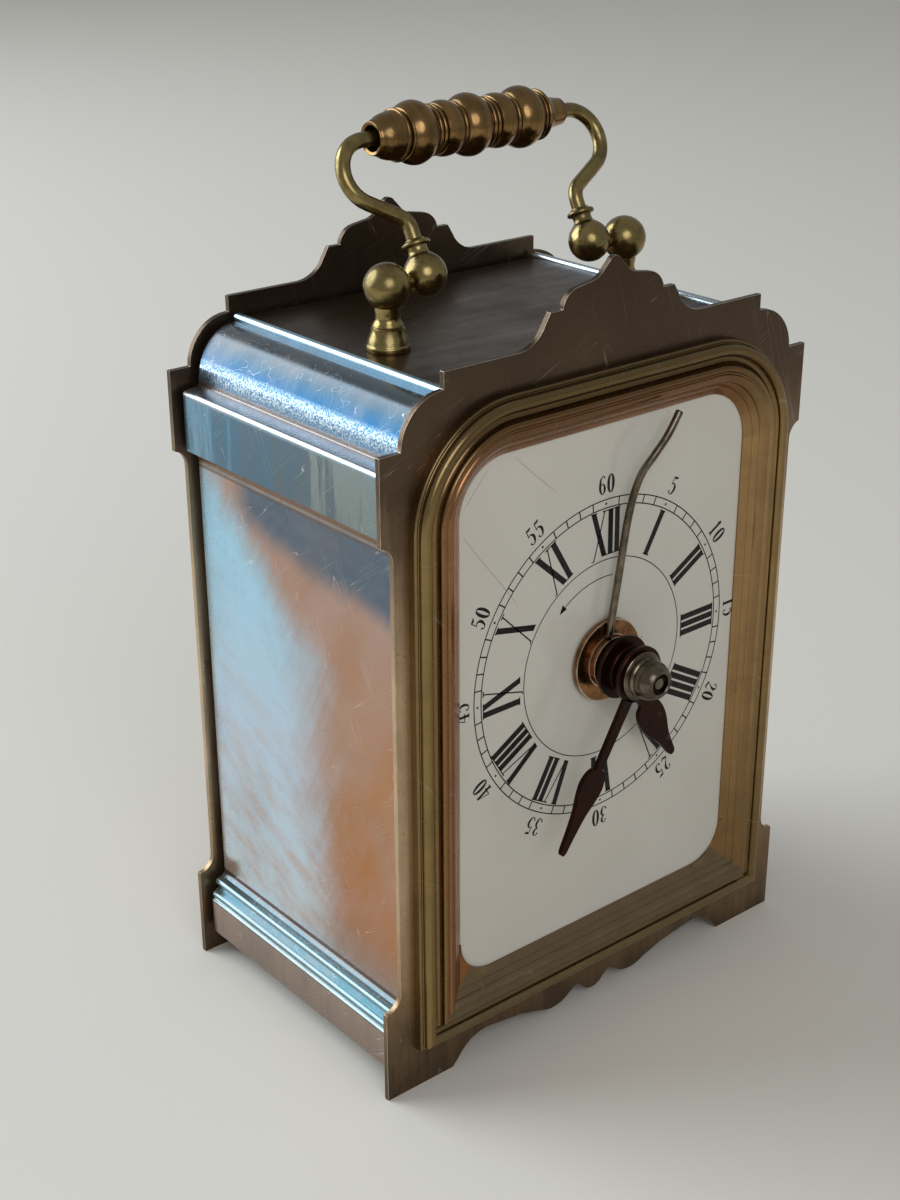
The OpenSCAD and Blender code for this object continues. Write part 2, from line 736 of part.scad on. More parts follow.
// The grip's turned outline: distance from the middle, radius. Its swellings repeat along +X.
swell_pitch = (grip_half + 2.2) / 2;
q = swell_pitch / 9.6;
swell_half = 2.1 * q;
swell_at = [-swell_pitch - 0.3 * q, -0.3 * q, swell_pitch - 0.3 * q];
ring_pts = [
    [2.2, 3.1], [2.35, 3.5], [2.75, 3.5], [2.9, 3.1], [3.3, 3.1], [4, 3.6],
    [5.3, 3.8], [6.5, 3.5], [6.8, 3.1], [6.95, 3.45], [7.25, 3.45], [7.4, 3.1]
];
function swell(c) = [for (i = [-4:4]) [c + swell_half * i / 4, grip_r - 0.9 * (i / 4) * (i / 4)]];
function rings(c) = [for (p = ring_pts) [c + p[0] * q, p[1]]];
grip_collar = swell_pitch + swell_half + 1.2 * q;
grip_end = grip_half - grip_collar;
grip_pts = concat(
    [[-grip_half, 2.2], [-grip_half + 0.12 * grip_end, 2.5], [-grip_collar - 0.5 * grip_end, 2.9]],
    [[-grip_collar - 0.1 * grip_end, 3.45], [-grip_collar + 0.1 * q, 3.5], [-grip_collar + 0.2 * q, 3.1]],
    [[-grip_collar + 0.5 * q, 3.1], [-grip_collar + 0.6 * q, 3.5], [-grip_collar + 0.85 * q, 3.5]],
    swell(swell_at[0]), rings(swell_at[0]), swell(swell_at[1]), rings(swell_at[1]), swell(swell_at[2]),
    [[grip_collar - 1.3 * q, 3.1], [grip_collar - 0.9 * q, 3.1], [grip_collar - 0.8 * q, 3.5]],
    [[grip_collar - 0.2 * q, 3.5], [grip_collar, 3.1], [grip_collar + 0.4 * grip_end, 2.75]],
    [[grip_collar + 0.8 * grip_end, 2.1], [grip_half, 1.6]]
);

module grip() {
    bore_r = wire_d / 2 + run_gap;
    mouth_r = 1.75;
    color("#a07a45") leant() translate([0, 0, handle_len]) rotate([0, 90, 0]) rotate_extrude() polygon(concat(
        [[bore_r, 3 - grip_half], [mouth_r, 1 - grip_half], [mouth_r, -grip_half]],
        [for (p = grip_pts) [p[1], p[0]]],
        [[bore_r, grip_half]]
    ));
}

// Hands. Each is drawn pointing at twelve and then turned clockwise.
module hand_at(angle) {
    translate([0, 0, centre_z]) rotate([0, angle, 0]) translate([0, 0, -centre_z]) children();
}

module alarm_disc() {
    color("#b0713f") difference() {
        union() {
            rod([0, 0], alarm_disc_r, face_y - disc_h[1], face_y - disc_h[0]);
            rod([0, 0], 3.9, face_y - disc_boss_h, face_y - disc_h[0]);
        }
        rod([0, 0], alarm_pipe_r, face_y - disc_boss_h - 1, face_y);
    }
}

// The pointer is a bent wire soldered to the disc, which climbs over the bezel
pointer_pts = [
    [-1.3, 4.1, pointer_h], [-1, 22, pointer_h + 0.15], [-0.7, 27.4, pointer_h + 0.9],
    [0.7, 30.6, pointer_over_h], [2.8, 33.3, pointer_over_h], [4.6, alarm_reach - 0.4, pointer_over_h]
];

module alarm_pointer() {
    function at(p) = [p[0], face_y - p[2], centre_z + p[1]];
    color("#b0713f") hand_at(alarm_angle) for (i = [0:len(pointer_pts) - 2]) {
        a = at(pointer_pts[i]);
        b = at(pointer_pts[i + 1]);
        d = b - a;
        translate(a) rotate([0, acos(d[2] / norm(d)), atan2(d[1], d[0])])
            cylinder(r = pointer_d / 2, h = norm(d));
        if (i > 0) translate(a) sphere(r = pointer_d / 2 + joint_swell);
    }
}

// Half of a hand's blade, from its hub to its tip: half width, distance
function blade(half) = concat(half, mirrored(half));
hour_blade = [[0.9, 0], [0.8, 6.6], [1.5, 7.6], [2.2, 9.4], [2.35, 11.4], [1.9, 13.6], [1.1, hour_reach - 5],
    [0.65, hour_reach - 2.6], [0.5, hour_reach - 0.4], [0.25, hour_reach]];
minute_blade = [[0.75, 0], [0.6, 14.4], [1.1, 14.9], [1.5, 15.9], [1.75, 17.2], [1.55, 18.8], [1, 21],
    [0.5, minute_reach - 3.4], [0.15, minute_reach]];

module hand(angle, pts, h, hub_r, boss_r, boss_h, bore_r) {
    color("#46352c") hand_at(angle) difference() {
        union() {
            slab(face_y - h[1], face_y - h[0]) translate([0, centre_z]) polygon(blade(pts));
            rod([0, 0], hub_r, face_y - h[1], face_y - h[0]);
            rod([0, 0], boss_r, face_y - boss_h, face_y - h[0]);
        }
        rod([0, 0], bore_r, face_y - boss_h - 1, face_y);
    }
}

module hour_hand() { hand(hour_angle, hour_blade, hour_h, 4.7, 3.6, hour_boss_h, hour_pipe_r); }
module minute_hand() { hand(minute_angle, minute_blade, minute_h, 4.2, 3, minute_h[1], cannon_r); }

module hand_collet() {
    color("#8c7a52") translate([0, face_y - minute_h[1], centre_z]) rotate([90, 0, 0]) {
        body_h = stack_h - minute_h[1];
        difference() {
            rotate_extrude() polygon(concat(
                [[0, 0], [3.6, 0], [3.6, 0.5], [2.9, 0.7], [2.95, 1.4]],
                [[2.8, body_h - 1.3], [2.45, body_h - 0.5], [1.9, body_h], [0, body_h]]
            ));
            translate([0, 0, -1]) cylinder(r = cannon_r, h = 2.2);
            translate([0, 0, -1]) cylinder(r = arbor_r + fit_gap, h = body_h + 2);
            translate([0, 0, body_h - 1.4]) cylinder(r = 1.5, h = 2);
        }
    }
}

// Centre of the movement
module centre_arbor() {
    color("#c8c8c4") rod([0, 0], arbor_r, face_y - stack_h + 0.4, back_y + 2);
}

cannon_phase = 90;
module cannon_pinion() {
    color("#c9a55a") difference() {
        union() {
            toothed([0, 0], motion_m, cannon_n, cannon_phase, cannon_layer);
            rod([0, 0], cannon_r, face_y - minute_h[1] - 1, cannon_layer[1]);
        }
        rod([0, 0], arbor_r + fit_gap, face_y - stack_h, cannon_layer[1] + 1);
    }
}

minute_phase = mesh_phase(minute_dir, cannon_n, cannon_phase, minute_n);
module minute_wheel() {
    color("#c9a55a") difference() {
        union() {
            toothed(minute_c, motion_m, minute_n, minute_phase, cannon_layer);
            toothed(minute_c, hour_m, minute_pinion_n, minute_phase, [hour_layer[0] - 0.2, cannon_layer[0]]);
        }
        rod(minute_c, 0.7 + run_gap, hour_layer[0] - 1, cannon_layer[1] + 1);
        spokes(minute_c, 3.4, 6.8, 4, cannon_layer);
    }
}

hour_phase = mesh_phase(minute_dir + 180, minute_pinion_n, minute_phase, hour_n);
module hour_wheel() {
    color("#c9a55a") difference() {
        union() {
            toothed([0, 0], hour_m, hour_n, hour_phase, hour_layer);
            rod([0, 0], hour_pipe_r, face_y - hour_boss_h, hour_layer[1]);
        }
        rod([0, 0], cannon_r + run_gap, face_y - hour_boss_h - 1, hour_layer[1] + 1);
        spokes([0, 0], 3.4, 7.6, 4, hour_layer);
    }
}

alarm_wheel_phase = 0;
module alarm_wheel() {
    color("#c9a55a") difference() {
        union() {
            toothed([0, 0], motion_m, alarm_n, alarm_wheel_phase, alarm_layer);
            rod([0, 0], alarm_pipe_r, face_y - disc_boss_h, alarm_layer[1]);
        }
        rod([0, 0], hour_pipe_r + run_gap, face_y - disc_boss_h - 1, alarm_layer[1] + 1);
        spokes([0, 0], 4, 10, 5, alarm_layer);
    }
}

alarm_pinion_phase = mesh_phase(alarm_set_dir, alarm_n, alarm_wheel_phase, alarm_pinion_n);
module alarm_set_arbor() {
    color("#c8c8c4") {
        rod(alarm_set_c, 1, alarm_layer[0] - 0.3, back_y + 2);
        toothed(alarm_set_c, motion_m, alarm_pinion_n, alarm_pinion_phase, wider(alarm_layer, 0.2));
    }
}

// A milled knob on an arbor of radius r, with its back face at key_reach
module knob(c, r, reach) {
    color("#b08d57") difference() {
        union() {
            slab(back_y + reach - 3.4, back_y + reach) translate([c[0], centre_z + c[1]])
                polygon([for (i = [0:47]) polar(knob_r - (i % 2) * 0.2, i * 7.5)]);
            rod(c, 2.2, back_y + 0.6, back_y + reach - 3.4);
        }
        rod(c, r + fit_gap, back_y - 1, back_y + 2);
    }
}

module set_knob() { knob([0, 0], arbor_r, 6.6); }
module alarm_knob() { knob(alarm_set_c, 1, 6.6); }

// Movement plates. Each arbor turns in a hole of its own radius.
pivot_list = [
    [barrel_c, 2], [alarm_barrel_c, 2], [third_c, 0.6], [fourth_c, 0.5], [escape_c, 0.4], [lever_c, 0.4],
    [strike_c, 0.5], [alarm_set_c, 1]
];

module movement_plate(y0) {
    difference() {
        slab(y0, y0 + mplate_t) rounded(mplate_half_w, mplate_low_z, mplate_top_z, 2, 2);
        for (p = pivot_list) rod(p[0], p[1] + run_gap, y0 - 1, y0 + mplate_t + 1);
        rod([0, 0], centre_pipe_r + run_gap, y0 - 1, y0 + mplate_t + 1);
        rod_places() rod([0, 0], rod_r + fit_gap, y0 - 1, y0 + mplate_t + 1);
        rod(hammer_c, 0.7 + run_gap, y0 - 1, y0 + mplate_t + 1);
        for (c = pillar_at) rod(c, screw_r + fit_gap, y0 - 1, y0 + mplate_t + 1);
        children();
    }
}

centre_pipe_r = 1.3;
balance_hole_r = balance_r + 0.8;
module movement_front() {
    // The stud that carries the minute wheel is riveted into the plate
    color("#c9a55a") {
        rod(minute_c, 0.7, hour_layer[0] - 0.4, train_y);
        rod(minute_c, 1.3, hour_layer[0] - 0.6, hour_layer[0] - 0.3);
        rod(minute_c, 1.2, cannon_layer[1] + 0.1, train_y);
    }
    color("#c9a55a") movement_plate(mfront_y) {
        for (c = dial_feet_at) rod(c, dial_foot_r + fit_gap, mfront_y - 1, train_y + 1);
        rod(balance_c, 0.4 + run_gap, mfront_y - 1, train_y + 1);
    }
}

module movement_rear() {
    color("#c9a55a") movement_plate(mrear_y) {
        rod(balance_c, balance_hole_r, mrear_y - 1, rear_room_y + 1);
        rod(bell_c, 1 + fit_gap, mrear_y - 1, rear_room_y + 1);
        for (c = cock_screws()) rod(c, 0.6 + fit_gap, mrear_y - 1, rear_room_y + 1);
        for (w = winders) rod(click_c(w), click_r + fit_gap, mrear_y - 1, rear_room_y + 1);
        rod(stop_c, 0.8 + run_gap, mrear_y - 1, rear_room_y + 1);
    }
}

module pillars() {
    color("#b08d57") for (c = pillar_at) difference() {
        rod(c, pillar_r, train_y, mrear_y);
        for (y = [train_y - 1, mrear_y - 4]) rod(c, screw_r + fit_gap, y, y + 5);
    }
}

module movement_screws() {
    color("#4b5866") for (c = cock_screws()) {
        rod(c, 0.6, mrear_y, cock_y);
        cone(c, 1.3, 1.1, cock_y, cock_y + 0.6);
    }
    color("#4b5866") for (c = pillar_at) {
        rod(c, screw_r, mrear_y - 3.5, rear_room_y);
        cone(c, 1.7, 1.4, rear_room_y, rear_room_y + 0.9);
        rod(c, screw_r, mfront_y, train_y + 3.5);
        cone(c, 1.4, 1.7, mfront_y - 0.9, mfront_y);
    }
}

// Time barrel and its key
drum_wall = 0.7;
time_drum_r = barrel_m * barrel_n / 2 - 1.4;
alarm_drum_r = barrel_m * alarm_barrel_n / 2 - 1.2;
winder_r = 2;
square_w = 2.4;
square_out = 3;

module barrel(c, n, phase, r, drum) {
    difference() {
        union() {
            toothed(c, barrel_m, n, phase, barrel_layer);
            rod(c, r, drum[0], drum[1]);
        }
        rod(c, winder_r + run_gap, barrel_layer[0] - 1, drum[1] + 1);
        rod(c, r - drum_wall, drum[0], drum[1] - drum_wall);
    }
}

centre_pinion_phase = 90;
barrel_phase = mesh_phase(barrel_dir, centre_pinion_n, centre_pinion_phase, barrel_n);
module time_barrel() {
    color("#c9a55a") barrel(barrel_c, barrel_n, barrel_phase, time_drum_r, time_drum);
}

module time_spring() {
    color("#4b5866") spiral(barrel_c, winder_r + 1.6, time_drum_r - drum_wall - 0.7, 7, 0.4,
        [time_drum[0] + 0.4, time_drum[1] - drum_wall - 0.4]);
}

module winder(c, drum) {
    color("#c8c8c4") {
        rod(c, winder_r, mfront_y, rear_room_y);
        for (room = [[train_y, barrel_layer[0]], [drum[1], mrear_y]])
            rod(c, winder_r + 0.6, room[0] + 0.2, room[1] - 0.2);
        translate([c[0], 0, centre_z + c[1]]) rotate([0, 45, 0])
            translate([-square_w / 2, rear_room_y - 1, -square_w / 2])
            cube([square_w, back_y + square_out + 1 - rear_room_y, square_w]);
    }
}

// Each ratchet sits on its arbor's square, and its click is pivoted on the plate behind it
ratchet_layer = [rear_room_y + 0.2, rear_room_y + 1.2];
ratchet_n = 24;
click_r = 0.8;
winders = [[barrel_c, 6, 200], [alarm_barrel_c, 5.2, 250]];
function click_c(w) = w[0] + polar(w[1] + 3.2, w[2]);

module ratchet(w) {
    side = square_w + 2 * fit_gap;
    color("#b08d57") difference() {
        slab(ratchet_layer[0], ratchet_layer[1]) translate([w[0][0], centre_z + w[0][1]])
            polygon(ratchet_pts(w[1], ratchet_n, 0.8, 0));
        translate([w[0][0], 0, centre_z + w[0][1]]) rotate([0, 45, 0])
            translate([-side / 2, rear_room_y, -side / 2]) cube([side, 3, side]);
    }
}

module time_ratchet() { ratchet(winders[0]); }
module alarm_ratchet() { ratchet(winders[1]); }

module clicks() {
    color("#4b5866") for (w = winders) {
        rod(click_c(w), click_r, mrear_y, ratchet_layer[1] + 0.3);
        rod(click_c(w), 1.3, rear_room_y, ratchet_layer[1]);
        bar(click_c(w), w[0] + polar(w[1] + 0.6, w[2] + 40), 0.45, ratchet_layer);
    }
}

module time_arbor() { winder(barrel_c, time_drum); }
module alarm_arbor() { winder(alarm_barrel_c, alarm_drum); }

// A winged key on the winding square
module key(c, w) {
    square = square_w + 2 * fit_gap;
    hub_r = 2.5;
    wing_t = 1.5;
    wing_h = key_reach - 2.6;
    color("#b08d57") translate([c[0], 0, c[1]]) difference() {
        union() {
            rod([0, 0], hub_r, back_y + 0.4, back_y + key_reach - 2.5);
            translate([0, 0, centre_z - wing_t / 2]) linear_extrude(wing_t) polygon(wing_pts(w / 2, wing_h));
        }
        translate([0, 0, centre_z]) rotate([0, 45, 0]) translate([-square / 2, back_y - 1, -square / 2])
            cube([square, square_out + 1.2, square]);
    }
}

function wing_pts(half, h) = concat(
    [[half * 0.2, back_y + 3]],
    arc([half - h / 2 + 0.6, back_y + key_reach - h / 2], h / 2 - 0.6, -100, 60, 10),
    arc([0, back_y + key_reach + 1.8], 3.6, -40, -140, 6),
    arc([h / 2 - half - 0.6, back_y + key_reach - h / 2], h / 2 - 0.6, 120, 280, 10),
    [[-half * 0.2, back_y + 3]]
);

module time_key() { key(barrel_c, key_w); }
module alarm_key() { key(alarm_barrel_c, alarm_key_w); }

// Going train
module centre_wheel() {
    color("#c9a55a") difference() {
        union() {
            toothed([0, 0], centre_m, centre_n, 0, centre_layer);
            rod([0, 0], centre_pipe_r, mfront_y, rear_room_y);
            toothed([0, 0], barrel_m, centre_pinion_n, centre_pinion_phase, wider(barrel_layer, 0.6));
            rod([0, 0], 2.2, centre_layer[0] - 0.5, centre_layer[1] + 0.6);
        }
        rod([0, 0], arbor_r + fit_gap, mfront_y - 1, rear_room_y + 1);
        spokes([0, 0], 3, 9.4, 5, centre_layer);
    }
}

// A wheel and a pinion on one arbor between the plates
module train_wheel(c, r, m, n, phase, layer, pinion_m, pinion_n, pinion_phase, pinion_layer, spoke_n) {
    color("#c9a55a") difference() {
        union() {
            rod(c, r, mfront_y, rear_room_y);
            toothed(c, m, n, phase, layer);
            toothed(c, pinion_m, pinion_n, pinion_phase, wider(pinion_layer, 0.6));
        }
        spokes(c, m * n * 0.14, m * n * 0.42, spoke_n, layer, 0.5);
    }
}

third_pinion_phase = mesh_phase(third_dir, centre_n, 0, third_pinion_n);
third_phase = 0;
fourth_pinion_phase = mesh_phase(fourth_dir, third_n, third_phase, fourth_pinion_n);
fourth_phase = 0;
escape_pinion_phase = mesh_phase(escape_dir, fourth_n, fourth_phase, escape_pinion_n);

module third_wheel() {
    train_wheel(third_c, 0.6, third_m, third_n, third_phase, third_layer,
        centre_m, third_pinion_n, third_pinion_phase, centre_layer, 5);
}

module fourth_wheel() {
    train_wheel(fourth_c, 0.5, fourth_m, fourth_n, fourth_phase, fourth_layer,
        third_m, fourth_pinion_n, fourth_pinion_phase, third_layer, 4);
}

// Pointed teeth that lean forward
function ratchet_pts(r, n, depth, phase) = [for (i = [0:n - 1]) for (k = [0:2])
    polar(k == 1 ? r : r - depth, phase + (i + [-0.3, 0, 0.12][k]) * 360 / n)];

// Turned so that both of the lever's pins can drop between teeth
escape_phase = lever_dir - (2.5 / 2 + 0.25) * 360 / escape_n;
module escape_wheel() {
    color("#c9a55a") {
        rod(escape_c, 0.4, mfront_y, rear_room_y);
        toothed(escape_c, fourth_m, escape_pinion_n, escape_pinion_phase, wider(fourth_layer, 0.6));
        slab(escape_layer[0], escape_layer[1]) translate([escape_c[0], centre_z + escape_c[1]])
            polygon(ratchet_pts(escape_r, escape_n, 1.1, escape_phase));
    }
}

// The lever's two pins stand in the plane of the escape wheel, just clear of its teeth
lever_pin_r = 0.16;
module pallet_lever() {
    span = 2.5 * 360 / escape_n / 2;
    color("#c8c8c4") {
        rod(lever_c, 0.4, mfront_y, rear_room_y);
        rod(lever_c, 1, lever_layer[0], lever_layer[1]);
        for (s = [-1, 1]) {
            p = escape_c + polar(escape_r + lever_pin_r + 0.12, lever_dir + s * span);
            bar(lever_c, p, 0.5, lever_layer);
            rod(p, lever_pin_r, escape_layer[0] - 0.1, lever_layer[0] + 0.1);
        }
        fork = balance_c - lever_c;
        bar(lever_c, lever_c + fork * (1 - (roller_r + 0.65) / norm(fork)), 0.45, lever_layer);
    }
}

// A flat bar with round ends from a to b
module bar(a, b, half, layer) {
    d = b - a;
    slab(layer[0], layer[1]) translate([a[0], centre_z + a[1]]) rotate(atan2(d[1], d[0])) union() {
        translate([0, -half]) square([norm(d), 2 * half]);
        circle(r = half, $fn = 24);
        translate([norm(d), 0]) circle(r = half, $fn = 24);
    }
}

module balance() {
    color("#c9a55a") difference() {
        union() {
            rod(balance_c, 0.4, mfront_y, cock_y);
            rod(balance_c, balance_r, balance_layer[0], balance_layer[1]);
            rod(balance_c, 1, balance_layer[0] - 0.6, balance_layer[1] + 0.6);
            rod(balance_c, roller_r, lever_layer[0], lever_layer[1]);
        }
        difference() {
            rod(balance_c, balance_r - 1, balance_layer[0] - 0.3, balance_layer[1] + 0.3);
            rod(balance_c, 1, balance_layer[0] - 1, balance_layer[1] + 1);
            for (a = [30, 210]) bar(balance_c, balance_c + polar(balance_r, a), 0.5, wider(balance_layer, 1));
        }
    }
}

module hairspring() {
    layer = [balance_layer[1] + 0.9, balance_layer[1] + 1.4];
    color("#4b5866") spiral(balance_c, 1.4, hairspring_r, 6, 0.15, layer, 12);
}

// The cock bridges the balance from the back of the movement
cock_t = 1.2;
cock_boss_r = 0.9;
hairspring_r = 4.1;
cock_y = rear_room_y + cock_t;
function cock_screws() = [for (a = [-72, -35]) balance_c + polar(balance_hole_r + 1.6, a)];
module balance_cock() {
    color("#c9a55a") difference() {
        union() {
            for (c = cock_screws()) bar(balance_c, c, 1.5, [rear_room_y, cock_y]);
            rod(balance_c, 2, rear_room_y, cock_y);
            rod(balance_c, cock_boss_r, cock_y, cock_y + 0.7);
            rod(balance_c + polar(hairspring_r + 0.7, -45), 0.4, balance_layer[1] + 0.9, rear_room_y + 0.1);
        }
        rod(balance_c, 0.4 + run_gap, rear_room_y - 1, cock_y + 2);
        for (c = cock_screws()) rod(c, 0.6 + fit_gap, rear_room_y - 1, cock_y + 1);
    }
}

// The regulator turns on the cock, and its bent tail shows in the rear plate's slot
function regulator_reach() = polar(5.6, 200);
module regulator() {
    color("#c8c8c4") difference() {
        union() {
            rod(balance_c, 1.6, cock_y, cock_y + 0.6);
            bar(balance_c, balance_c + regulator_reach(), 0.6, [cock_y, cock_y + 0.6]);
            rod(balance_c + regulator_reach(), regulator_pin_r, cock_y, back_y + 1.6);
        }
        rod(balance_c, cock_boss_r + run_gap, cock_y - 1, cock_y + 2);
    }
}

// Alarm work
strike_pinion_phase = mesh_phase(strike_dir, alarm_barrel_n, 0, strike_pinion_n);
module alarm_barrel() {
    color("#c9a55a") barrel(alarm_barrel_c, alarm_barrel_n, 0, alarm_drum_r, alarm_drum);
}

module alarm_spring() {
    color("#4b5866") spiral(alarm_barrel_c, winder_r + 1.2, alarm_drum_r - drum_wall - 0.6, 5, 0.4,
        [alarm_drum[0] + 0.4, alarm_drum[1] - drum_wall - 0.4]);
}

module strike_wheel() {
    color("#c9a55a") {
        rod(strike_c, 0.5, mfront_y, rear_room_y);
        toothed(strike_c, barrel_m, strike_pinion_n, strike_pinion_phase, wider(barrel_layer, 0.6));
        slab(strike_layer[0], strike_layer[1]) translate([strike_c[0], centre_z + strike_c[1]])
            polygon(ratchet_pts(strike_r, strike_n, 1.3, 0));
    }
}

module hammer() {
    head_c = bell_c + polar(bell_r + hammer_gap + hammer_head_r, hammer_head_dir);
    tail = strike_c - hammer_c;
    tail_len = norm(tail) - strike_r - 0.6;
    arm_layer = [bell_mouth_y - 3.2, bell_mouth_y - 2.2];
    color("#c8c8c4") {
        rod(hammer_c, 0.7, mfront_y, arm_layer[1]);
        rod(hammer_c, 1.5, arm_layer[0], arm_layer[1]);
        rod(hammer_c, 1.3, strike_layer[0], strike_layer[1]);
        bar(hammer_c, hammer_c + tail * tail_len / norm(tail), 0.5, strike_layer);
        bar(hammer_c, head_c, 0.6, arm_layer);
        rod(head_c, hammer_head_r, arm_layer[0] - 1.6, arm_layer[1] + 0.8);
    }
}

// The bell opens towards the movement
bell_mouth_y = rear_room_y + 6.2;
bell_wall = 0.9;
module bell() {
    y1 = bell_mouth_y - 4.4 + bell_deep;
    color("#b9bdc2") translate([bell_c[0], y1, centre_z + bell_c[1]]) rotate([90, 0, 0]) difference() {
        rotate_extrude() polygon(bell_pts(bell_r, bell_deep, 0));
        rotate_extrude() polygon(bell_pts(bell_r - bell_wall, bell_deep - bell_wall, bell_wall));
        translate([0, 0, -1]) cylinder(r = 1 + fit_gap, h = bell_deep);
    }
}

// Half section of a bowl: its crown at height lift, its mouth open
function bell_pts(r, h, lift) = concat(
    [[0, lift]],
    arc([r - 5, lift + 5], 5, 270, 360, 8),
    [[r, lift + h + (lift > 0 ? 1 : 0)], [0, lift + h + (lift > 0 ? 1 : 0)]]
);

module bell_post() {
    y1 = bell_mouth_y - 4.4 + bell_deep;
    color("#b08d57") {
        rod(bell_c, 1, mrear_y, y1 + 0.8);
        rod(bell_c, 1.8, rear_room_y, y1 - bell_wall);
        rod(bell_c, 2, y1, y1 + 0.8);
    }
}

// The stop lever turns on the movement's rear plate, and its finger stands out of the rear plate
module stop_lever() {
    lever = [rear_room_y + 0.1, rear_room_y + 0.9];
    color("#c8c8c4") {
        rod(stop_c, 0.8, mrear_y, lever[1]);
        rod(stop_c, 1.7, lever[0], lever[1]);
        bar(stop_c, stop_c + [0, stop_arm], 0.8, lever);
        rod(stop_c + [0, stop_arm], stop_pin_r, lever[0], back_y + 4);
    }
}

front_plate();
rear_plate();
side_left();
side_right();
roof();
floor_plate();
bezel();
dial();
dial_feet();
tie_rods();
rod_nuts();
rear_screws();
posts();
post_nuts();
handle_pins();
knuckles();
handle_wire();
grip();
alarm_disc();
alarm_pointer();
hour_hand();
minute_hand();
hand_collet();
centre_arbor();
cannon_pinion();
minute_wheel();
hour_wheel();
alarm_wheel();
movement_front();
movement_rear();
pillars();
movement_screws();
time_barrel();
time_spring();
time_arbor();
time_ratchet();
time_key();
centre_wheel();
third_wheel();
fourth_wheel();
escape_wheel();
pallet_lever();
balance();
hairspring();
balance_cock();
regulator();
alarm_barrel();
alarm_spring();
alarm_arbor();
alarm_ratchet();
alarm_key();
clicks();
strike_wheel();
hammer();
bell();
bell_post();
alarm_set_arbor();
alarm_knob();
set_knob();
stop_lever();
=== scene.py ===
# %% [markdown]
# # A small travel alarm clock, about 1900
#
# The clock is a thin nickelled case between two scalloped brass plates, with an enamel dial in a moulded
# bezel and a turned handle that folds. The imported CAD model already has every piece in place, so this
# lesson dresses it: pieces whose edges and curves show are made again with smooth surfaces, and every piece
# gets the finish of its real metal.

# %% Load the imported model
import json
from math import acos, atan2, cos, degrees, hypot, radians, sin

import bmesh
import bpy
from mathutils import Matrix, Vector

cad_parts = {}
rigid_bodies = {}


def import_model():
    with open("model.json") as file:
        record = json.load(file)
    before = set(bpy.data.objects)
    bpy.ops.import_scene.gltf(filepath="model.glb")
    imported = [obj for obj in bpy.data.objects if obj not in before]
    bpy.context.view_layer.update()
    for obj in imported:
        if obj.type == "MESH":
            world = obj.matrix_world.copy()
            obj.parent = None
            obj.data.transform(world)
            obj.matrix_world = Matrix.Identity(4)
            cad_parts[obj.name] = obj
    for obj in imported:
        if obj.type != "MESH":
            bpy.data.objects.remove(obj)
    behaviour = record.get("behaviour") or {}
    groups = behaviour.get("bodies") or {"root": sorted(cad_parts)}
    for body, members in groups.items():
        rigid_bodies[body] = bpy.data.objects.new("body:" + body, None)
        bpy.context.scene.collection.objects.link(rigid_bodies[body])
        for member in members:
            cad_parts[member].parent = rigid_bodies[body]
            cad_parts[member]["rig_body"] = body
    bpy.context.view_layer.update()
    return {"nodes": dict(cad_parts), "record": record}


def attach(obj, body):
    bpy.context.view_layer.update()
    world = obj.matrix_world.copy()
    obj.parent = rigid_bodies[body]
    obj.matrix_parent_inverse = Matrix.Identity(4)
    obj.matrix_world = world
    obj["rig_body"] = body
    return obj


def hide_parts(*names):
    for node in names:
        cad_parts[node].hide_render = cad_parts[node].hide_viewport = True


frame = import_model()
MM = 0.001
scene = bpy.context.scene
print(len(frame["nodes"]), "pieces from the CAD model")

# %% [markdown]
# ## The measures that the pieces share
#
# These are the sizes of the clock in millimetres, as its drawing gives them. Y runs from the dial at the
# front (-) to the keys at the back (+), and Z is the height above the table.

# %% Measures from the drawing
FACE_Y = -24.4  # front face of the front plate, and of the dial
CENTRE_Z = 57.9  # height of the hands' centre
DIAL = Matrix.Translation((0, FACE_Y, CENTRE_Z)) @ Matrix.Rotation(radians(90), 4, "X")  # Z leaves the dial
OPEN_X, OPEN_LOW, OPEN_TOP = 26.8, 15.0, 93.0  # the dial's opening
TOP_R, LOW_R = 8.0, 6.0  # its corners
ROOF_Z = 102.8  # top of the roof sheet
PIVOT = Vector((0, -3.9, 111.3))  # the handle folds about this line along X
HANDLE_LEAN = -28  # degrees, to the rear
LEAN = Matrix.Translation(PIVOT) @ Matrix.Rotation(radians(HANDLE_LEAN), 4, "X")
HANDLE = 19.7  # from the pivot to the middle of the grip
GRIP_HALF, WIRE_R = 17.0, 1.05

# %% [markdown]
# ## The camera
#
# The photograph was taken by hand from the left, a little above the clock, about 29 cm away. The camera
# stands where a fit to the corners of the plates put it, with the focal length that the same fit gave.

# %% Place the camera
CAMERA_AT = Vector((-166.73, -192.63, 171.91))
CAMERA_TURN = (66.006, 0.253, -39.585)  # degrees
LENS, SENSOR = 55.104, 36

camera_data = bpy.data.cameras.new("camera")
camera_data.sensor_width = SENSOR
camera_data.lens = LENS
camera = bpy.data.objects.new("camera", camera_data)
camera.location = CAMERA_AT * MM
camera.rotation_euler = [radians(a) for a in CAMERA_TURN]
scene.collection.objects.link(camera)
scene.camera = camera
scene.view_settings.view_transform = "Standard"
print("camera", round(CAMERA_AT.length), "mm from the clock's foot")

# %% [markdown]
# ## Helpers for materials
#
# Colours are written as sRGB hex values, as a colour picker shows them, and turned to the linear values
# that a render works in. The second helper adds one node and gives back one of its outputs, so that calls
# can be nested. Values after the node's type go to its inputs in their order, `ins` goes to inputs by name
# or number, and other words are the node's own settings. `out` picks the output and `stops` sets a colour
# ramp. A value is a number, a colour or another node's output.

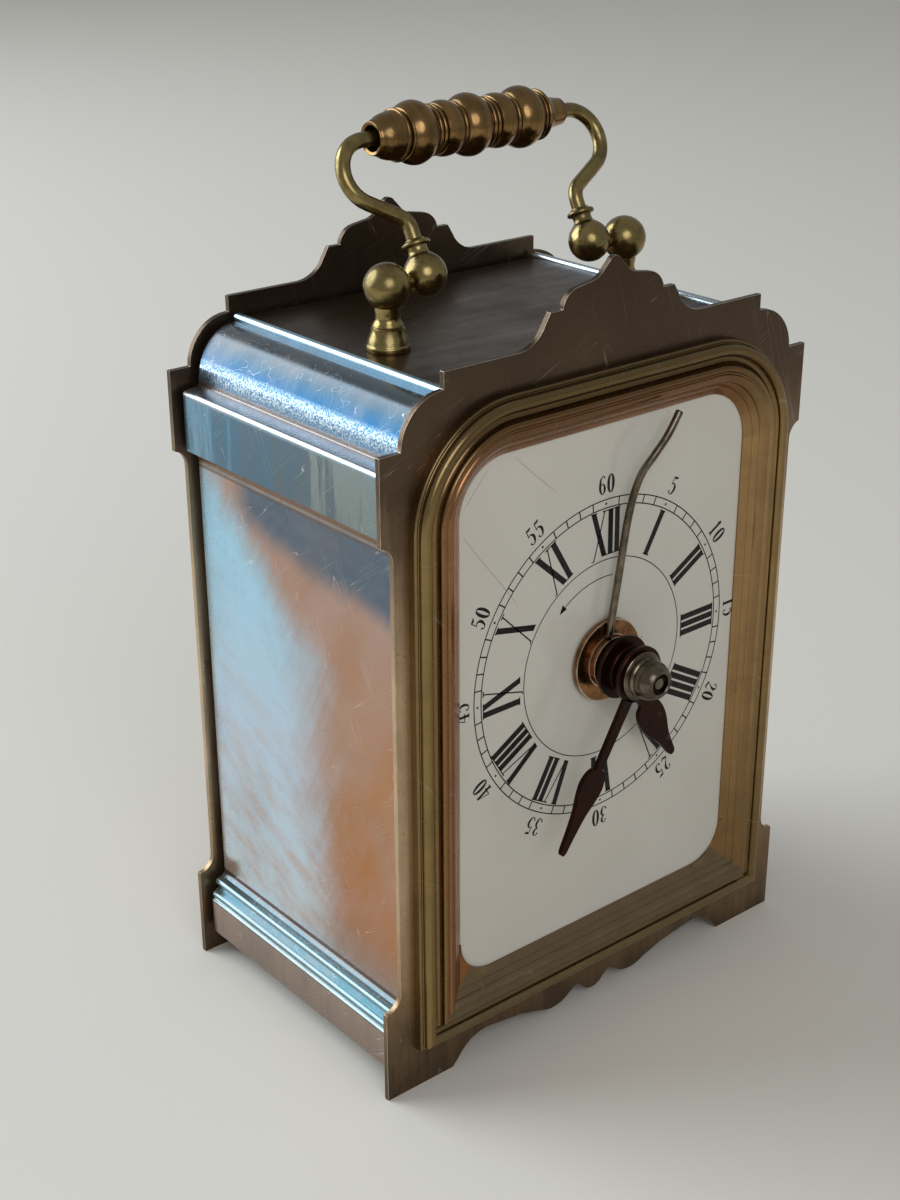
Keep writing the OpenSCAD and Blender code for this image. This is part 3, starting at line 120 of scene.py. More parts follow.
# %% Colour and node helpers
def colour(code):
    parts = [int(code[i:i + 2], 16) / 255 for i in (1, 3, 5)]
    return [c / 12.92 if c <= 0.04045 else ((c + 0.055) / 1.055) ** 2.4 for c in parts] + [1]


def put(tree, kind, *values, ins=None, out=0, stops=None, **settings):
    node = tree.nodes.new("ShaderNode" + kind)
    for name, value in settings.items():
        setattr(node, name, value)
    for key, value in [*enumerate(values), *(ins or {}).items()]:
        if isinstance(value, bpy.types.NodeSocket):
            tree.links.new(value, node.inputs[key])
        else:
            node.inputs[key].default_value = colour(value) if isinstance(value, str) else value
    if stops:
        ramp = node.color_ramp
        while len(ramp.elements) < len(stops):
            ramp.elements.new(1)
        for element, (at, value) in zip(ramp.elements, stops):
            element.position = at
            element.color = colour(value) if isinstance(value, str) else (value, value, value, 1)
    return node.outputs[out] if node.outputs else node


def new_material(name):
    made = bpy.data.materials.new(name)
    made.use_nodes = True
    made.node_tree.nodes.clear()
    return made, made.node_tree

# %% [markdown]
# ## Old metal
#
# Every metal on this clock has the same history in different shares: it was turned, rolled or plated
# bright, then handled for a century. So one function makes them all: a bright colour, a tarnish that lies
# in patches of a few millimetres, brushing that runs one way, dark specks where dirt or corrosion sits, and
# hair-thin scratches. What differs is given as values. The grain of the specks and the scratches is drawn
# as coarse as a render needs to show it. Real ones are finer.

# %% Parts of the recipe
def millimetres(tree, source="Object"):
    where = put(tree, "TexCoord", out=source)
    return put(tree, "Mapping", ins={"Vector": where, "Scale": (1000, 1000, 1000)})


def drawn_noise(tree, mm, cell, detail=3.0, rough=0.55):
    """Noise whose cells are so many millimetres wide, or so many along X, Y and Z."""
    cells = cell if isinstance(cell, tuple) else (cell, cell, cell)
    scaled = put(tree, "Mapping", ins={"Vector": mm, "Scale": [1 / c for c in cells]})
    return put(tree, "TexNoise", ins={"Vector": scaled, "Scale": 1, "Detail": detail, "Roughness": rough})


def weighted(tree, a, times_a, b, times_b):
    """The sum of two values, each times its own number."""
    second = put(tree, "Math", b, times_b, operation="MULTIPLY")
    return put(tree, "Math", a, times_a, second, operation="MULTIPLY_ADD")


def swayed(tree, value, noise, amount):
    """A value that noise pushes up and down, so that what it draws isn't straight."""
    centred = put(tree, "Math", noise, 0.5, operation="SUBTRACT")
    return put(tree, "Math", centred, amount, value, operation="MULTIPLY_ADD")


def painted(tree, base, *coats):
    """Coats of colour over a base. Each coat is its share, from 0 to 1, and its colour."""
    for share, coat in coats:
        base = put(tree, "Mix", share, ins={6: base, 7: coat}, out=2, data_type="RGBA")
    return base


# Scratches run within a face, so their two directions, in degrees, depend on the way it faces.
FACING_X = ((35, 0, 0), (112, 0, 0))
FACING_Y = ((0, 25, 90), (0, 110, 90))
FACING_Z = ((0, 0, 12), (0, 0, 57))


def threads(tree, mm, turn, long, wide, share):
    """Thin lines, shown here and there, where noise of long by wide millimetres crosses its middle."""
    along = put(tree, "Mapping", ins={"Vector": mm, "Rotation": [radians(a) for a in turn]})
    noise = drawn_noise(tree, along, (wide, long, wide), 0)
    off = put(tree, "Math", put(tree, "Math", noise, 0.5, operation="SUBTRACT"), operation="ABSOLUTE")
    line = put(tree, "MapRange", off, 0, share, 1, 0)
    here = drawn_noise(tree, along, (wide * 2.3, long / 4, wide * 2.3), 1)
    return put(tree, "Math", line, put(tree, "MapRange", here, 0.52, 0.6, 0, 1), operation="MULTIPLY")

# %% The recipe
TINTED = 0.35  # share of the tarnish where a function already gives the colours by place


def old_metal(name, bright, tarnish, dark, rough=(0.2, 0.4), metallic=(1, 0.8), patch=9, cover=0.5, edge=0.12,
              speck=0.9, specks=0.5, brush=8, brushed=0.0, scratch=0.3, bump=0.3, source="Object",
              turns=FACING_Y):
    """bright is a colour or a function that makes one. rough and metallic go from bright to tarnished."""
    made, tree = new_material(name)
    mm = millimetres(tree, source)
    clouds = drawn_noise(tree, mm, patch, 6, 0.62)
    streaks = drawn_noise(tree, mm, brush, 4, 0.6)
    blend = weighted(tree, streaks, brushed, clouds, 1 - brushed)
    tarnished = put(tree, "ValToRGB", blend, stops=[(cover - edge, 0.0), (cover + edge, 1.0)])
    film = tarnished
    if callable(bright):
        bright = bright(tree, mm)
        film = put(tree, "Math", tarnished, TINTED, operation="MULTIPLY")
    dots = put(tree, "MapRange", drawn_noise(tree, mm, speck, 4, 0.7), 0.62, 0.74, 0, specks)
    lines = [threads(tree, mm, turns[0], 30, 1.1, 0.006), threads(tree, mm, turns[1], 40, 1.6, 0.005)]
    hairs = put(tree, "Math", put(tree, "Math", *lines, operation="MAXIMUM"), scratch, operation="MULTIPLY")
    glint = put(tree, "Math", hairs, 0.5, operation="MULTIPLY")
    base = painted(tree, bright, (film, tarnish), (dots, dark), (glint, "#e9e6e0"))
    fine = drawn_noise(tree, mm, 0.25)
    dull = put(tree, "MapRange", tarnished, 0, 1, *rough)
    dull = swayed(tree, swayed(tree, dull, fine, 0.12), streaks, 0.3 * brushed)
    dull = put(tree, "Math", hairs, 0.25, dull, operation="MULTIPLY_ADD")
    dull = put(tree, "Math", dots, 0.3, dull, operation="MULTIPLY_ADD", use_clamp=True)
    height = weighted(tree, fine, 0.05, streaks, 1.5 * brushed)
    for sunk in (hairs, dots):
        height = put(tree, "Math", height, sunk, operation="SUBTRACT")
    relief = put(tree, "Bump", ins={"Height": height, "Strength": bump, "Distance": 0.05 * MM})
    shader = put(tree, "BsdfPrincipled", ins={"Base Color": base, "Roughness": dull, "Normal": relief,
                                              "Metallic": put(tree, "MapRange", tarnished, 0, 1, *metallic)})
    put(tree, "OutputMaterial", shader)
    return made

# %% [markdown]
# ## Nickel plate and its painted reflections
#
# The shell was nickelled over brass. Its colours are mostly painted reflections: cool and bright at the rear
# of each side, a painted dark reflection in blue-grey under the cornice, and a warm painted reflection
# towards the front. A ramp over the height gives the mouldings, with painted highlights on their crests and
# painted shade between them, and on the flat panel a line that leans back near the top parts the cool
# painted reflection from the warm one. Its edge is smeared.
#
# Cleaning never reached everywhere. A pale veil lies in short leaning streaks on the lower part of the cool
# reflection, pale clouds lie on the warm one, and the quarter round under the roof has a band of painted
# glints, a painted highlight broken into fine grains. The side away from the window has the same marks with
# less than half of the colour, so its painted reflections and highlights are weaker.

# %% The shell's colours by height
# Most of these stops are painted light: the pale cyan ones on the plinth's beads, the cove's lip, the
# cornice's top edge and the roof bead are painted highlights, the dark teal between the beads is painted
# shade, and the blues and greys of the quarter round are a painted reflection of sky and room.
SHELL = [(0.0, "#8c786c"), (9.7, "#ab9688"), (10.1, "#5d868c"), (10.9, "#a3b5b8"), (11.5, "#3a5b62"),
         (12.2, "#3a5b62"), (12.9, "#a3b5b8"), (13.6, "#4c6b71"), (14.6, "#745747"), (82.5, "#745747"),
         (82.8, "#b0bcc0"), (83.1, "#8d664a"), (84.9, "#7c5a42"), (93.3, "#8a9ca6"), (93.7, "#d0e0e8"),
         (94.2, "#7d726c"), (94.9, "#8b7b6f"), (95.3, "#4a83ab"), (97.2, "#265c78"), (98.2, "#174664"),
         (99.6, "#2a4757"), (100.6, "#434c51"), (101.5, "#565d61"), (102.2, "#7d888e"), (102.5, "#3a6c83"),
         (103.1, "#a9c6d2"), (110.0, "#84979f")]
SHELL_TOP = SHELL[-1][0]
# Painted reflections: warm and cool by height from 0 to 1, and the cornice band's from its front to its rear.
WARM = [(0.13, "#9c8676"), (0.2, "#bb7b46"), (0.4, "#c28a5c"), (0.68, "#b99685")]
COOL = [(0.15, "#d3e4ee"), (0.4, "#cbe3f8"), (0.75, "#a6e4ff")]
BELT = [(0.05, "#849598"), (0.28, "#8a9795"), (0.38, "#67767f"), (0.75, "#577b93"), (1, "#7fb4ce")]


def between(tree, value, low, high, soft):
    """1 where a value is between two limits, with soft edges."""
    rise = put(tree, "MapRange", value, low - soft, low + soft, 0, 1)
    fall = put(tree, "MapRange", value, high - soft, high + soft, 1, 0)
    return put(tree, "Math", rise, fall, operation="MULTIPLY")

# %% [markdown]
# The flat panel is two painted reflections, a warm one and a cool one, and a painted dark reflection under
# the cornice. Its masks are distances in millimetres, swayed by noise and turned to a share by a Map Range
# node: how far a point is behind the cool reflection's front edge, how far below the veil's top, and how far
# above the lower edge of the dark reflection under the cornice.

# %% The flat panel
EDGE_Y, EDGE_RISE = -6.5, 0.05  # front edge of the cool painted reflection at the table, and its slope
EDGE_BEND, EDGE_LEAN = 61, 1.1  # the height from which it leans back, and how much more
EDGE_SOFT = 8  # half the width over which the warm painted reflection turns to the cool one
VEIL_TOP, VEIL_FULL = 66, 24  # heights where the veil starts and where it is full
SHADE_Z, SHADE_RISE = 75.4, 0.14  # lower edge of the painted dark reflection under the cornice, and its slope to the rear
SHADE_FULL, SHADE_GONE = 9.5, 14.5  # from here to here along the clock's depth the painted dark reflection ends


def panel_tint(tree, mm, y, z, height):
    """The flat panel: a warm painted reflection in front, a cool one behind, a painted dark reflection under
    the cornice.
    """
    wiped = drawn_noise(tree, mm, (30, 14, 22), 3)
    leaning = put(tree, "Mapping", ins={"Vector": mm, "Rotation": (radians(-28), 0, 0)})
    smear = drawn_noise(tree, leaning, (30, 1.6, 26), 5, 0.6)
    bent = put(tree, "Math", put(tree, "Math", z, EDGE_BEND, operation="SUBTRACT"), 0, operation="MAXIMUM")
    line = put(tree, "Math", z, EDGE_RISE, EDGE_Y, operation="MULTIPLY_ADD")
    line = put(tree, "Math", bent, EDGE_LEAN, line, operation="MULTIPLY_ADD")
    behind = put(tree, "Math", y, line, operation="SUBTRACT")
    behind = swayed(tree, swayed(tree, behind, smear, 7), wiped, 12)
    # Share of the cool painted reflection.
    cool_reflection_share = put(tree, "MapRange", behind, -EDGE_SOFT, EDGE_SOFT, 0, 1, interpolation_type="SMOOTHSTEP")
    clouds = put(tree, "MapRange", drawn_noise(tree, leaning, (20, 9, 18), 3), 0.36, 0.68, 0, 0.36)
    warm = painted(tree, put(tree, "ValToRGB", height, stops=WARM), (clouds, "#c9b6b2"))
    veil = put(tree, "MapRange", drawn_noise(tree, leaning, (30, 7, 2.6), 4), 0.4, 0.66, 0, 0.8)
    veil = put(tree, "Math", veil, put(tree, "MapRange", z, VEIL_TOP, VEIL_FULL, 0, 1), operation="MULTIPLY")
    cool = painted(tree, put(tree, "ValToRGB", height, stops=COOL), (veil, "#d2c0ba"))
    # The painted dark reflection under the cornice, in blue-grey.
    shade = put(tree, "Math", y, SHADE_RISE, SHADE_Z, operation="MULTIPLY_ADD")
    above = put(tree, "Math", z, shade, operation="SUBTRACT")
    above = swayed(tree, swayed(tree, above, wiped, 6), smear, 2)
    grey = put(tree, "MapRange", above, -2.2, 3, 0, 0.92, interpolation_type="SMOOTHSTEP")
    front = put(tree, "MapRange", y, SHADE_FULL, SHADE_GONE, 1, 0)
    grey = put(tree, "Math", grey, front, operation="MULTIPLY")
    dark_reflection_tint = painted(tree, "#3b556c", (drawn_noise(tree, mm, (9, 7, 3), 4, 0.7), "#6d8192"))
    return painted(tree, warm, (cool_reflection_share, cool), (grey, dark_reflection_tint))

# %% The whole shell
PANEL_Z, BELT_Z, ROUND_Z = (14.8, 82.4), (85.1, 93.1), (95.3, 97.6)  # panel, band, and the quarter round's painted glints
FRONT_Y, DEEP = -24, 60  # the band's colours start here and run over this depth


def belt_tint(tree, y, smears):
    """The cornice band's painted reflection goes from grey at the front to blue at the rear."""
    row = put(tree, "Math", put(tree, "Math", y, -FRONT_Y, operation="ADD"), DEEP, operation="DIVIDE")
    return put(tree, "ValToRGB", put(tree, "Math", smears, 0.5, row, operation="MULTIPLY_ADD"), stops=BELT)


def shell_tint(tree, mm):
    x, y, z = put(tree, "SeparateXYZ", mm).node.outputs
    height = put(tree, "Math", z, SHELL_TOP, operation="DIVIDE")
    moulded = put(tree, "ValToRGB", height, stops=[(at / SHELL_TOP, code) for at, code in SHELL])
    smears = put(tree, "MapRange", drawn_noise(tree, mm, (9, 3, 30), 5, 0.7), 0.4, 0.64, 0, 0.5)
    dirt = put(tree, "Math", smears, 0.5, operation="MULTIPLY")
    # Painted glints: a painted highlight broken into fine grains on the quarter round.
    painted_glints = put(tree, "MapRange", drawn_noise(tree, mm, 0.3, 3, 0.8), 0.44, 0.6, 0, 0.7)
    painted_glints = put(tree, "Math", painted_glints, between(tree, z, *ROUND_Z, 0.7), operation="MULTIPLY")
    both = painted(tree, moulded, (dirt, "#59636a"),
                   (between(tree, z, *PANEL_Z, 0.2), panel_tint(tree, mm, y, z, height)),
                   (between(tree, z, *BELT_Z, 0.15), belt_tint(tree, y, smears)), (painted_glints, "#f4fbff"))
    # Less colour on the side away from the window, where the painted reflections and highlights are weaker.
    strength = put(tree, "MapRange", x, -1, 1, 1, 0.4)
    return put(tree, "HueSaturation", ins={"Saturation": strength, "Color": both})

# %% [markdown]
# ## Colours of the plates and the bezel
#
# The plates are lighter below the cornice and darker above it, a painted reflection. The bezel's colours
# follow its moulding, so they are drawn over the piece's own UV map, whose second number is the distance
# from the opening. Three masks in space change its flange: it is greyer on the bottom rail, more golden on
# the right one and darker at the top, where the darkening is a painted shadow.

# %% Plates and bezel
def plate_tint(tree, mm):
    """Brown over a height from 0 to 1, dark at the foot, with a painted reflection: light below the cornice
    and dark above it.
    """
    height = put(tree, "Math", put(tree, "SeparateXYZ", mm, out=2), 115, operation="DIVIDE")
    height = swayed(tree, height, drawn_noise(tree, mm, (0.8, 0.8, 16), 3), 0.08)
    height = swayed(tree, height, drawn_noise(tree, mm, (12, 12, 15), 4), 0.25)
    return put(tree, "ValToRGB", height, stops=[(0.0, "#5f4e3a"), (0.16, "#ab8d69"), (0.32, "#dcbd99"),
                                                (0.55, "#d8ba96"), (0.8, "#62503f"), (1, "#4f4032")])


BEZEL_WIDE = 8.2  # from the opening to the moulding's outer edge


def bezel_tint(tree, mm):
    """Across the moulding: copper next to the dial, brown flange, olive hollow and pale golden beads."""
    place = put(tree, "Math", put(tree, "SeparateXYZ", mm, out=1), BEZEL_WIDE, operation="DIVIDE")
    place = swayed(tree, place, drawn_noise(tree, mm, (12, 0.4, 9), 4, 0.65), 0.14)
    base = put(tree, "ValToRGB", place, stops=[(0, "#b57848"), (0.22, "#a6703f"), (0.27, "#9c6e4a"),
                                               (0.5, "#936943"), (0.58, "#866a46"), (0.7, "#826a42"),
                                               (0.78, "#8c7448"), (0.92, "#917a50"), (1, "#86704e")])
    x, _, z = put(tree, "SeparateXYZ", millimetres(tree)).node.outputs
    corner = put(tree, "Math", z, put(tree, "Math", x, operation="ABSOLUTE"), operation="ADD")
    mitre = OPEN_X + OPEN_LOW
    rails = [put(tree, "MapRange", x, 21, 27, 0, 1),
             put(tree, "MapRange", corner, mitre - 0.5, mitre + 0.5, 1, 0)]
    flange = put(tree, "MapRange", place, 0.5, 0.62, 0.85, 0.45)
    right, bottom = (put(tree, "Math", rail, flange, operation="MULTIPLY") for rail in rails)
    # The top rail's darker brown is a painted shadow.
    top = put(tree, "MapRange", z, 86, 97, 0, 0.45)
    return painted(tree, base, (right, "#9c8058"), (bottom, "#7c7058"), (top, "#4a3724"))

# %% [markdown]
# ## The metals of this clock
#
# The plates were lacquered brass and have gone dark brown, with fine vertical brushing. The bezel was gilt:
# its flange next to the dial is coppery, its hollow dark, and its beads are still golden where hands wiped
# them. Each metal below says what it is and what the eye sees of it. Its first pairs of numbers are how
# rough and how metallic it is where it is bright and where it is tarnished. What else differs from the
# recipe is named.

# %% Metals
finish = {
    # Nickel plate on rolled sheet: a cool, soft mirror, brushed along the case and crossed by many hairs.
    # Its colours by place come from shell_tint and are mostly painted reflections and highlights.
    "nickel": old_metal("worn nickel plate with painted reflections", shell_tint, "#8f8378", "#4a4642", (0.2, 0.34), (0.92, 0.92),
                        patch=16, cover=0.6, edge=0.14, speck=0.5, specks=0.3, brush=(30, 1.6, 20),
                        brushed=0.12, scratch=0.9, bump=0.15, turns=FACING_X),
    # Rolled brass of the roof and the floor, long bare: a dark brown sheet with long streaks.
    "roof_metal": old_metal("roof sheet gone brown", "#5e4a34", "#3a2c20", "#241c15", (0.26, 0.4),
                            (0.95, 0.9), patch=12, edge=0.16, brush=(20, 2.2, 14), brushed=0.35, bump=0.2,
                            turns=FACING_Z),
    # Lacquered brass plate: brown with a satin shine, finely brushed upwards, and spotted.
    "case_brass": old_metal("tarnished plate brass", plate_tint, "#4d3f34", "#2f261e", (0.28, 0.42),
                            (0.95, 0.9), patch=8, cover=0.52, edge=0.16, speck=0.6, specks=0.6,
                            brush=(0.6, 0.6, 9), brushed=0.22, scratch=0.4),
    # The same brass along its edges: a thin pale line, partly rubbed bare and partly a painted highlight.
    "plate_edge": old_metal("rubbed plate edge with painted highlight", "#d8cdb8", "#a08a68", "#5a4a36", (0.2, 0.34), (1, 0.95),
                            patch=3, edge=0.14, speck=0.4, specks=0.4),
    # Gilt drawn brass: sharp bright lines on its beads, with streaks along the rail.
    "bezel_brass": old_metal("aged gilt brass", bezel_tint, "#5f4a30", "#3b2e1e", (0.18, 0.32), (1, 0.95),
                             patch=5, cover=0.55, edge=0.14, speck=0.7, specks=0.35, brush=(9, 0.35, 9),
                             brushed=0.25, bump=0.2, source="UV", turns=FACING_Z),
    # Copper of the dial's feet: warm and dull.
    "copper": old_metal("copper", "#c08058", "#9a6240", "#4a3020", (0.25, 0.4)),
    # Blued steel of screws and springs: dark and satin. Polished steel of arbors and levers: pale and glossy.
    "steel": old_metal("blued steel", "#5a6470", "#4b4a4c", "#2c2a28", (0.28, 0.42)),
    "bright_steel": old_metal("polished steel", "#c8c8c4", "#a9a59c", "#4c4844", (0.16, 0.3)),
    # Turned and bent brass of the handle: olive gold, glossy on its rounds and dirty in its grooves.
    "handle_brass": old_metal("aged brass", "#9f8b58", "#6f5f3c", "#30281a", (0.18, 0.32), (1, 0.95), patch=3,
                              cover=0.48, edge=0.14, speck=0.5, specks=0.6, brush=(6, 6, 1.2), brushed=0.2,
                              scratch=0.25),
    # Turned brass of the grip, polished by hands: redder, with the fine rings that a lathe leaves.
    "grip_brass": old_metal("turned brass", "#977547", "#675031", "#332717", (0.14, 0.28), (1, 0.95), patch=4,
                            cover=0.48, edge=0.14, speck=0.4, specks=0.6, brush=(0.5, 9, 9), brushed=0.4,
                            scratch=0.2, bump=0.35),
    # Gilt that is worn to its copper tone: a glossy red-gold disc.
    "gilt": old_metal("worn coppery gilt", "#a5774e", "#63432c", "#2c1f17", (0.14, 0.28), (1, 0.95), patch=3,
                      edge=0.14, speck=0.4, scratch=0.2),
    # Turned bronze: a grey-brown mirror with one sharp highlight.
    "collet": old_metal("bronze gone grey", "#7d7262", "#4e4538", "#262019", (0.14, 0.28), (1, 0.95),
                        patch=2.5, edge=0.14, speck=0.4, scratch=0.2),
    # Sawn sheet steel, browned by heat: nearly black, with a warm sheen at a low angle.
    "hand_steel": old_metal("browned steel", "#35190d", "#24110a", "#120a07", (0.3, 0.45), (0.9, 0.85),
                            patch=3, edge=0.14, speck=0.3, scratch=0.2),
    # Brass that the closed case kept clean: plain yellow and bright.
    "movement_brass": old_metal("clean brass", "#d8b872", "#c09a52", "#6b4e28", (0.2, 0.34)),
    # Brass of keys, knobs and pillars: yellow where fingers rub it, brown elsewhere.
    "key_brass": old_metal("handled brass", "#b8975c", "#8e6f40", "#45341d", (0.2, 0.36), (1, 0.95), patch=4),
    # Spun bell metal with a nickel plate: a smooth pale mirror.
    "bell_metal": old_metal("nickelled bell metal", "#c6cacd", "#b5aca0", "#58524c", (0.14, 0.28)),
}

# %% [markdown]
# ## Enamel and its printing
#
# The dial is glass fused on copper. It is off-white, glossy and hard, and ages by hairline cracks that take
# up dirt and by specks. The cracks are straight for a centimetre or two, so each is a distance to a line,
# cut off at its ends. The figures are black enamel fired into it, hence a second, duller glass.

# %% Enamel
CRACKS = [((-17.5, 92.4), (-9.3, 84.9)), ((-26.3, 83.6), (-16.2, 70.4)), ((-20.9, 92.3), (-26.3, 86.1))]
GLASS = 1.52  # index of refraction


def crack(tree, x, z, start, end):
    """0.4 on a hairline from start to end, 0 off it. It sways a little, and fades over its last 2 mm."""
    long = hypot(end[0] - start[0], end[1] - start[1])
    ux, uz = (end[0] - start[0]) / long, (end[1] - start[1]) / long
    dx, dz = (put(tree, "Math", at, foot, operation="SUBTRACT") for at, foot in zip((x, z), start))
    along = weighted(tree, dx, ux, dz, uz)
    wave = put(tree, "Math", put(tree, "Math", along, 0.35, operation="MULTIPLY"), operation="SINE")
    across = put(tree, "Math", wave, 0.08, weighted(tree, dx, -uz, dz, ux), operation="MULTIPLY_ADD")
    line = put(tree, "MapRange", put(tree, "Math", across, operation="ABSOLUTE"), 0.05, 0.14, 0.4, 0)
    far = put(tree, "Math", put(tree, "Math", along, long / 2, operation="SUBTRACT"), operation="ABSOLUTE")
    ends = put(tree, "MapRange", far, long / 2 - 2, long / 2, 1, 0)
    return put(tree, "Math", line, ends, operation="MULTIPLY")


def enamel():
    made, tree = new_material("vitreous enamel")
    mm = millimetres(tree)
    x, _, z = put(tree, "SeparateXYZ", mm).node.outputs
    dust = put(tree, "MapRange", drawn_noise(tree, mm, 0.9, 2), 0.755, 0.79, 0, 0.75)
    cracks = [(crack(tree, x, z, start, end), "#8c7b66") for start, end in CRACKS]
    tint = painted(tree, "#d0cabc", (drawn_noise(tree, mm, 14), "#c4beb0"), (dust, "#70675c"), *cracks)
    waves = drawn_noise(tree, mm, 6, 1)
    relief = put(tree, "Bump", ins={"Height": waves, "Strength": 0.1, "Distance": 0.1 * MM})
    shader = put(tree, "BsdfPrincipled", ins={"Base Color": tint, "Roughness": 0.14, "IOR": GLASS,
                                              "Normal": relief})
    put(tree, "OutputMaterial", shader)
    return made


def black_enamel():
    made, tree = new_material("black enamel figures")
    worn = drawn_noise(tree, millimetres(tree), 0.5, 4)
    tint = put(tree, "ValToRGB", worn, stops=[(0.5, "#090806"), (0.8, "#2c2a25")])
    shader = put(tree, "BsdfPrincipled", ins={"Base Color": tint, "Roughness": 0.4, "IOR": GLASS,
                                              "Specular IOR Level": 0.25})
    put(tree, "OutputMaterial", shader)
    return made


finish["enamel"] = enamel()
finish["figures"] = black_enamel()
slots = {row["node"]: row["material_slot"] for row in frame["record"]["subparts"]}
for node, piece in frame["nodes"].items():
    piece.data.materials.clear()
    piece.data.materials.append(finish[slots[node]])
frame["nodes"]["centre_arbor"].data.materials[0] = finish["collet"]  # its steel end gets the collet's dark bronze, a painted shade deep in the collet's hollow
print(len(finish), "finishes on", len(slots), "pieces")

# %% [markdown]
# ## Pieces with real edges
#
# A CAD node is drawn with razor edges. A real plate or key has a small rounding that catches the light. So
# a copy of the node's mesh is joined up, its edges are bevelled by a tenth of a millimetre or two, and it
# takes the node's place. The case plates and the alarm disc also get a second, paler metal on those narrow
# faces: partly the bright edge that handling keeps when the flat has gone brown, partly a painted highlight.

# %% Dress a CAD node
def keep(bm, name, nodes, material, body=None, crease=32):
    """Makes a finished piece of a bmesh. It rides with its nodes' body and stands for them."""
    mesh = bpy.data.meshes.new(name)
    bm.to_mesh(mesh)
    bm.free()
    mesh.shade_smooth()
    mesh.set_sharp_from_angle(angle=radians(crease))
    for m in material if isinstance(material, list) else [material]:
        mesh.materials.append(m)
    piece = bpy.data.objects.new(name, mesh)
    scene.collection.objects.link(piece)
    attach(piece, body or frame["nodes"][nodes[0]]["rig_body"])
    if nodes:
        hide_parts(*nodes)
    print(name, len(mesh.polygons), "faces")
    return piece


def flats_stay_flat(piece):
    """Flat faces shade flat beside their narrow bevels."""
    piece.modifiers.new("flats stay flat", "WEIGHTED_NORMAL").keep_sharp = True


def joined(node):
    """A copy of a CAD node's mesh with its loose triangles joined and its flat faces made whole."""
    bm = bmesh.new()
    bm.from_mesh(frame["nodes"][node].data)
    bmesh.ops.remove_doubles(bm, verts=bm.verts, dist=2e-6)
    bmesh.ops.dissolve_limit(bm, angle_limit=radians(0.4), verts=bm.verts, edges=bm.edges)
    return bm


def rounded(bm, edges, width, steps, clamp=True):
    """Bevels edges by a width in millimetres, and returns the narrow faces."""
    return bmesh.ops.bevel(bm, geom=edges, offset=width * MM, offset_type="OFFSET", segments=steps,
                           profile=0.5, affect="EDGES", clamp_overlap=clamp, material=-1)["faces"]


def bevelled(node, width, steps=2, edge=None):
    bm = joined(node)
    sharp = [e for e in bm.edges if len(e.link_faces) == 2 and e.calc_face_angle(0) > radians(35)]
    narrow = rounded(bm, sharp, width, steps)
    # The narrow faces take the pale edge metal, partly a painted highlight.
    if edge:
        for face in narrow:
            face.material_index = 1
    flats_stay_flat(keep(bm, node + "_piece", [node], [finish[slots[node]]] + ([edge] if edge else [])))

# %% Plates, disc, keys and the rest
for node in ("front_plate", "rear_plate"):
    bevelled(node, 0.16, 3, edge=finish["plate_edge"])
bevelled("alarm_disc", 0.15, edge=finish["plate_edge"])
for node, width in {"time_key": 0.25, "alarm_key": 0.25, "set_knob": 0.1, "alarm_knob": 0.1,
                    "rear_screws": 0.08, "stop_lever": 0.1, "regulator": 0.08}.items():
    bevelled(node, width)

# %% [markdown]
# ## The side sheets
#
# Each side was rolled from one thin sheet: a plinth with two beads, the flat panel, a cove, the cornice
# band, a quarter round and the bead that holds the roof. So one closed outline of the sheet, drawn on the
# right, is filled and pulled from the front plate to the rear one, and the left side is its mirror image.
# The arcs have enough points to shine evenly.

# %% Outline helpers
def angles(start, end, steps):
    """Even steps from one angle to another, given in degrees and returned in radians."""
    return [radians(start + (end - start) * i / steps) for i in range(steps + 1)]


def arc(cx, cz, r, start, end, steps, tall=None):
    """Points on an arc about (cx, cz). tall is its upright radius."""
    return [(cx + r * cos(a), cz + (tall or r) * sin(a)) for a in angles(start, end, steps)]


def chain(bm, points):
    """Vertices at points in millimetres, joined by edges."""
    verts = [bm.verts.new(Vector(p) * MM) for p in points]
    return [bm.edges.new(pair) for pair in zip(verts, verts[1:])]


def moved(bm, made, way):
    """Moves what an extrusion made, by millimetres."""
    verts = [v for v in made if isinstance(v, bmesh.types.BMVert)]
    bmesh.ops.translate(bm, vec=Vector(way) * MM, verts=verts)


def slab(points, way):
    """A closed outline in millimetres, filled and pulled out to a solid."""
    bm = bmesh.new()
    chain(bm, points + points[:1])
    bmesh.ops.remove_doubles(bm, verts=bm.verts, dist=1e-6)
    bmesh.ops.edgeloop_fill(bm, edges=bm.edges[:])
    moved(bm, bmesh.ops.extrude_face_region(bm, geom=bm.faces[:], use_keep_orig=True)["geom"], way)
    bmesh.ops.recalc_face_normals(bm, faces=bm.faces)
    return bm


def merged(bm, part):
    """Adds a second bmesh to the first."""
    mesh = bpy.data.meshes.new("part")
    part.to_mesh(mesh)
    part.free()
    bm.from_mesh(mesh)
    bpy.data.meshes.remove(mesh)

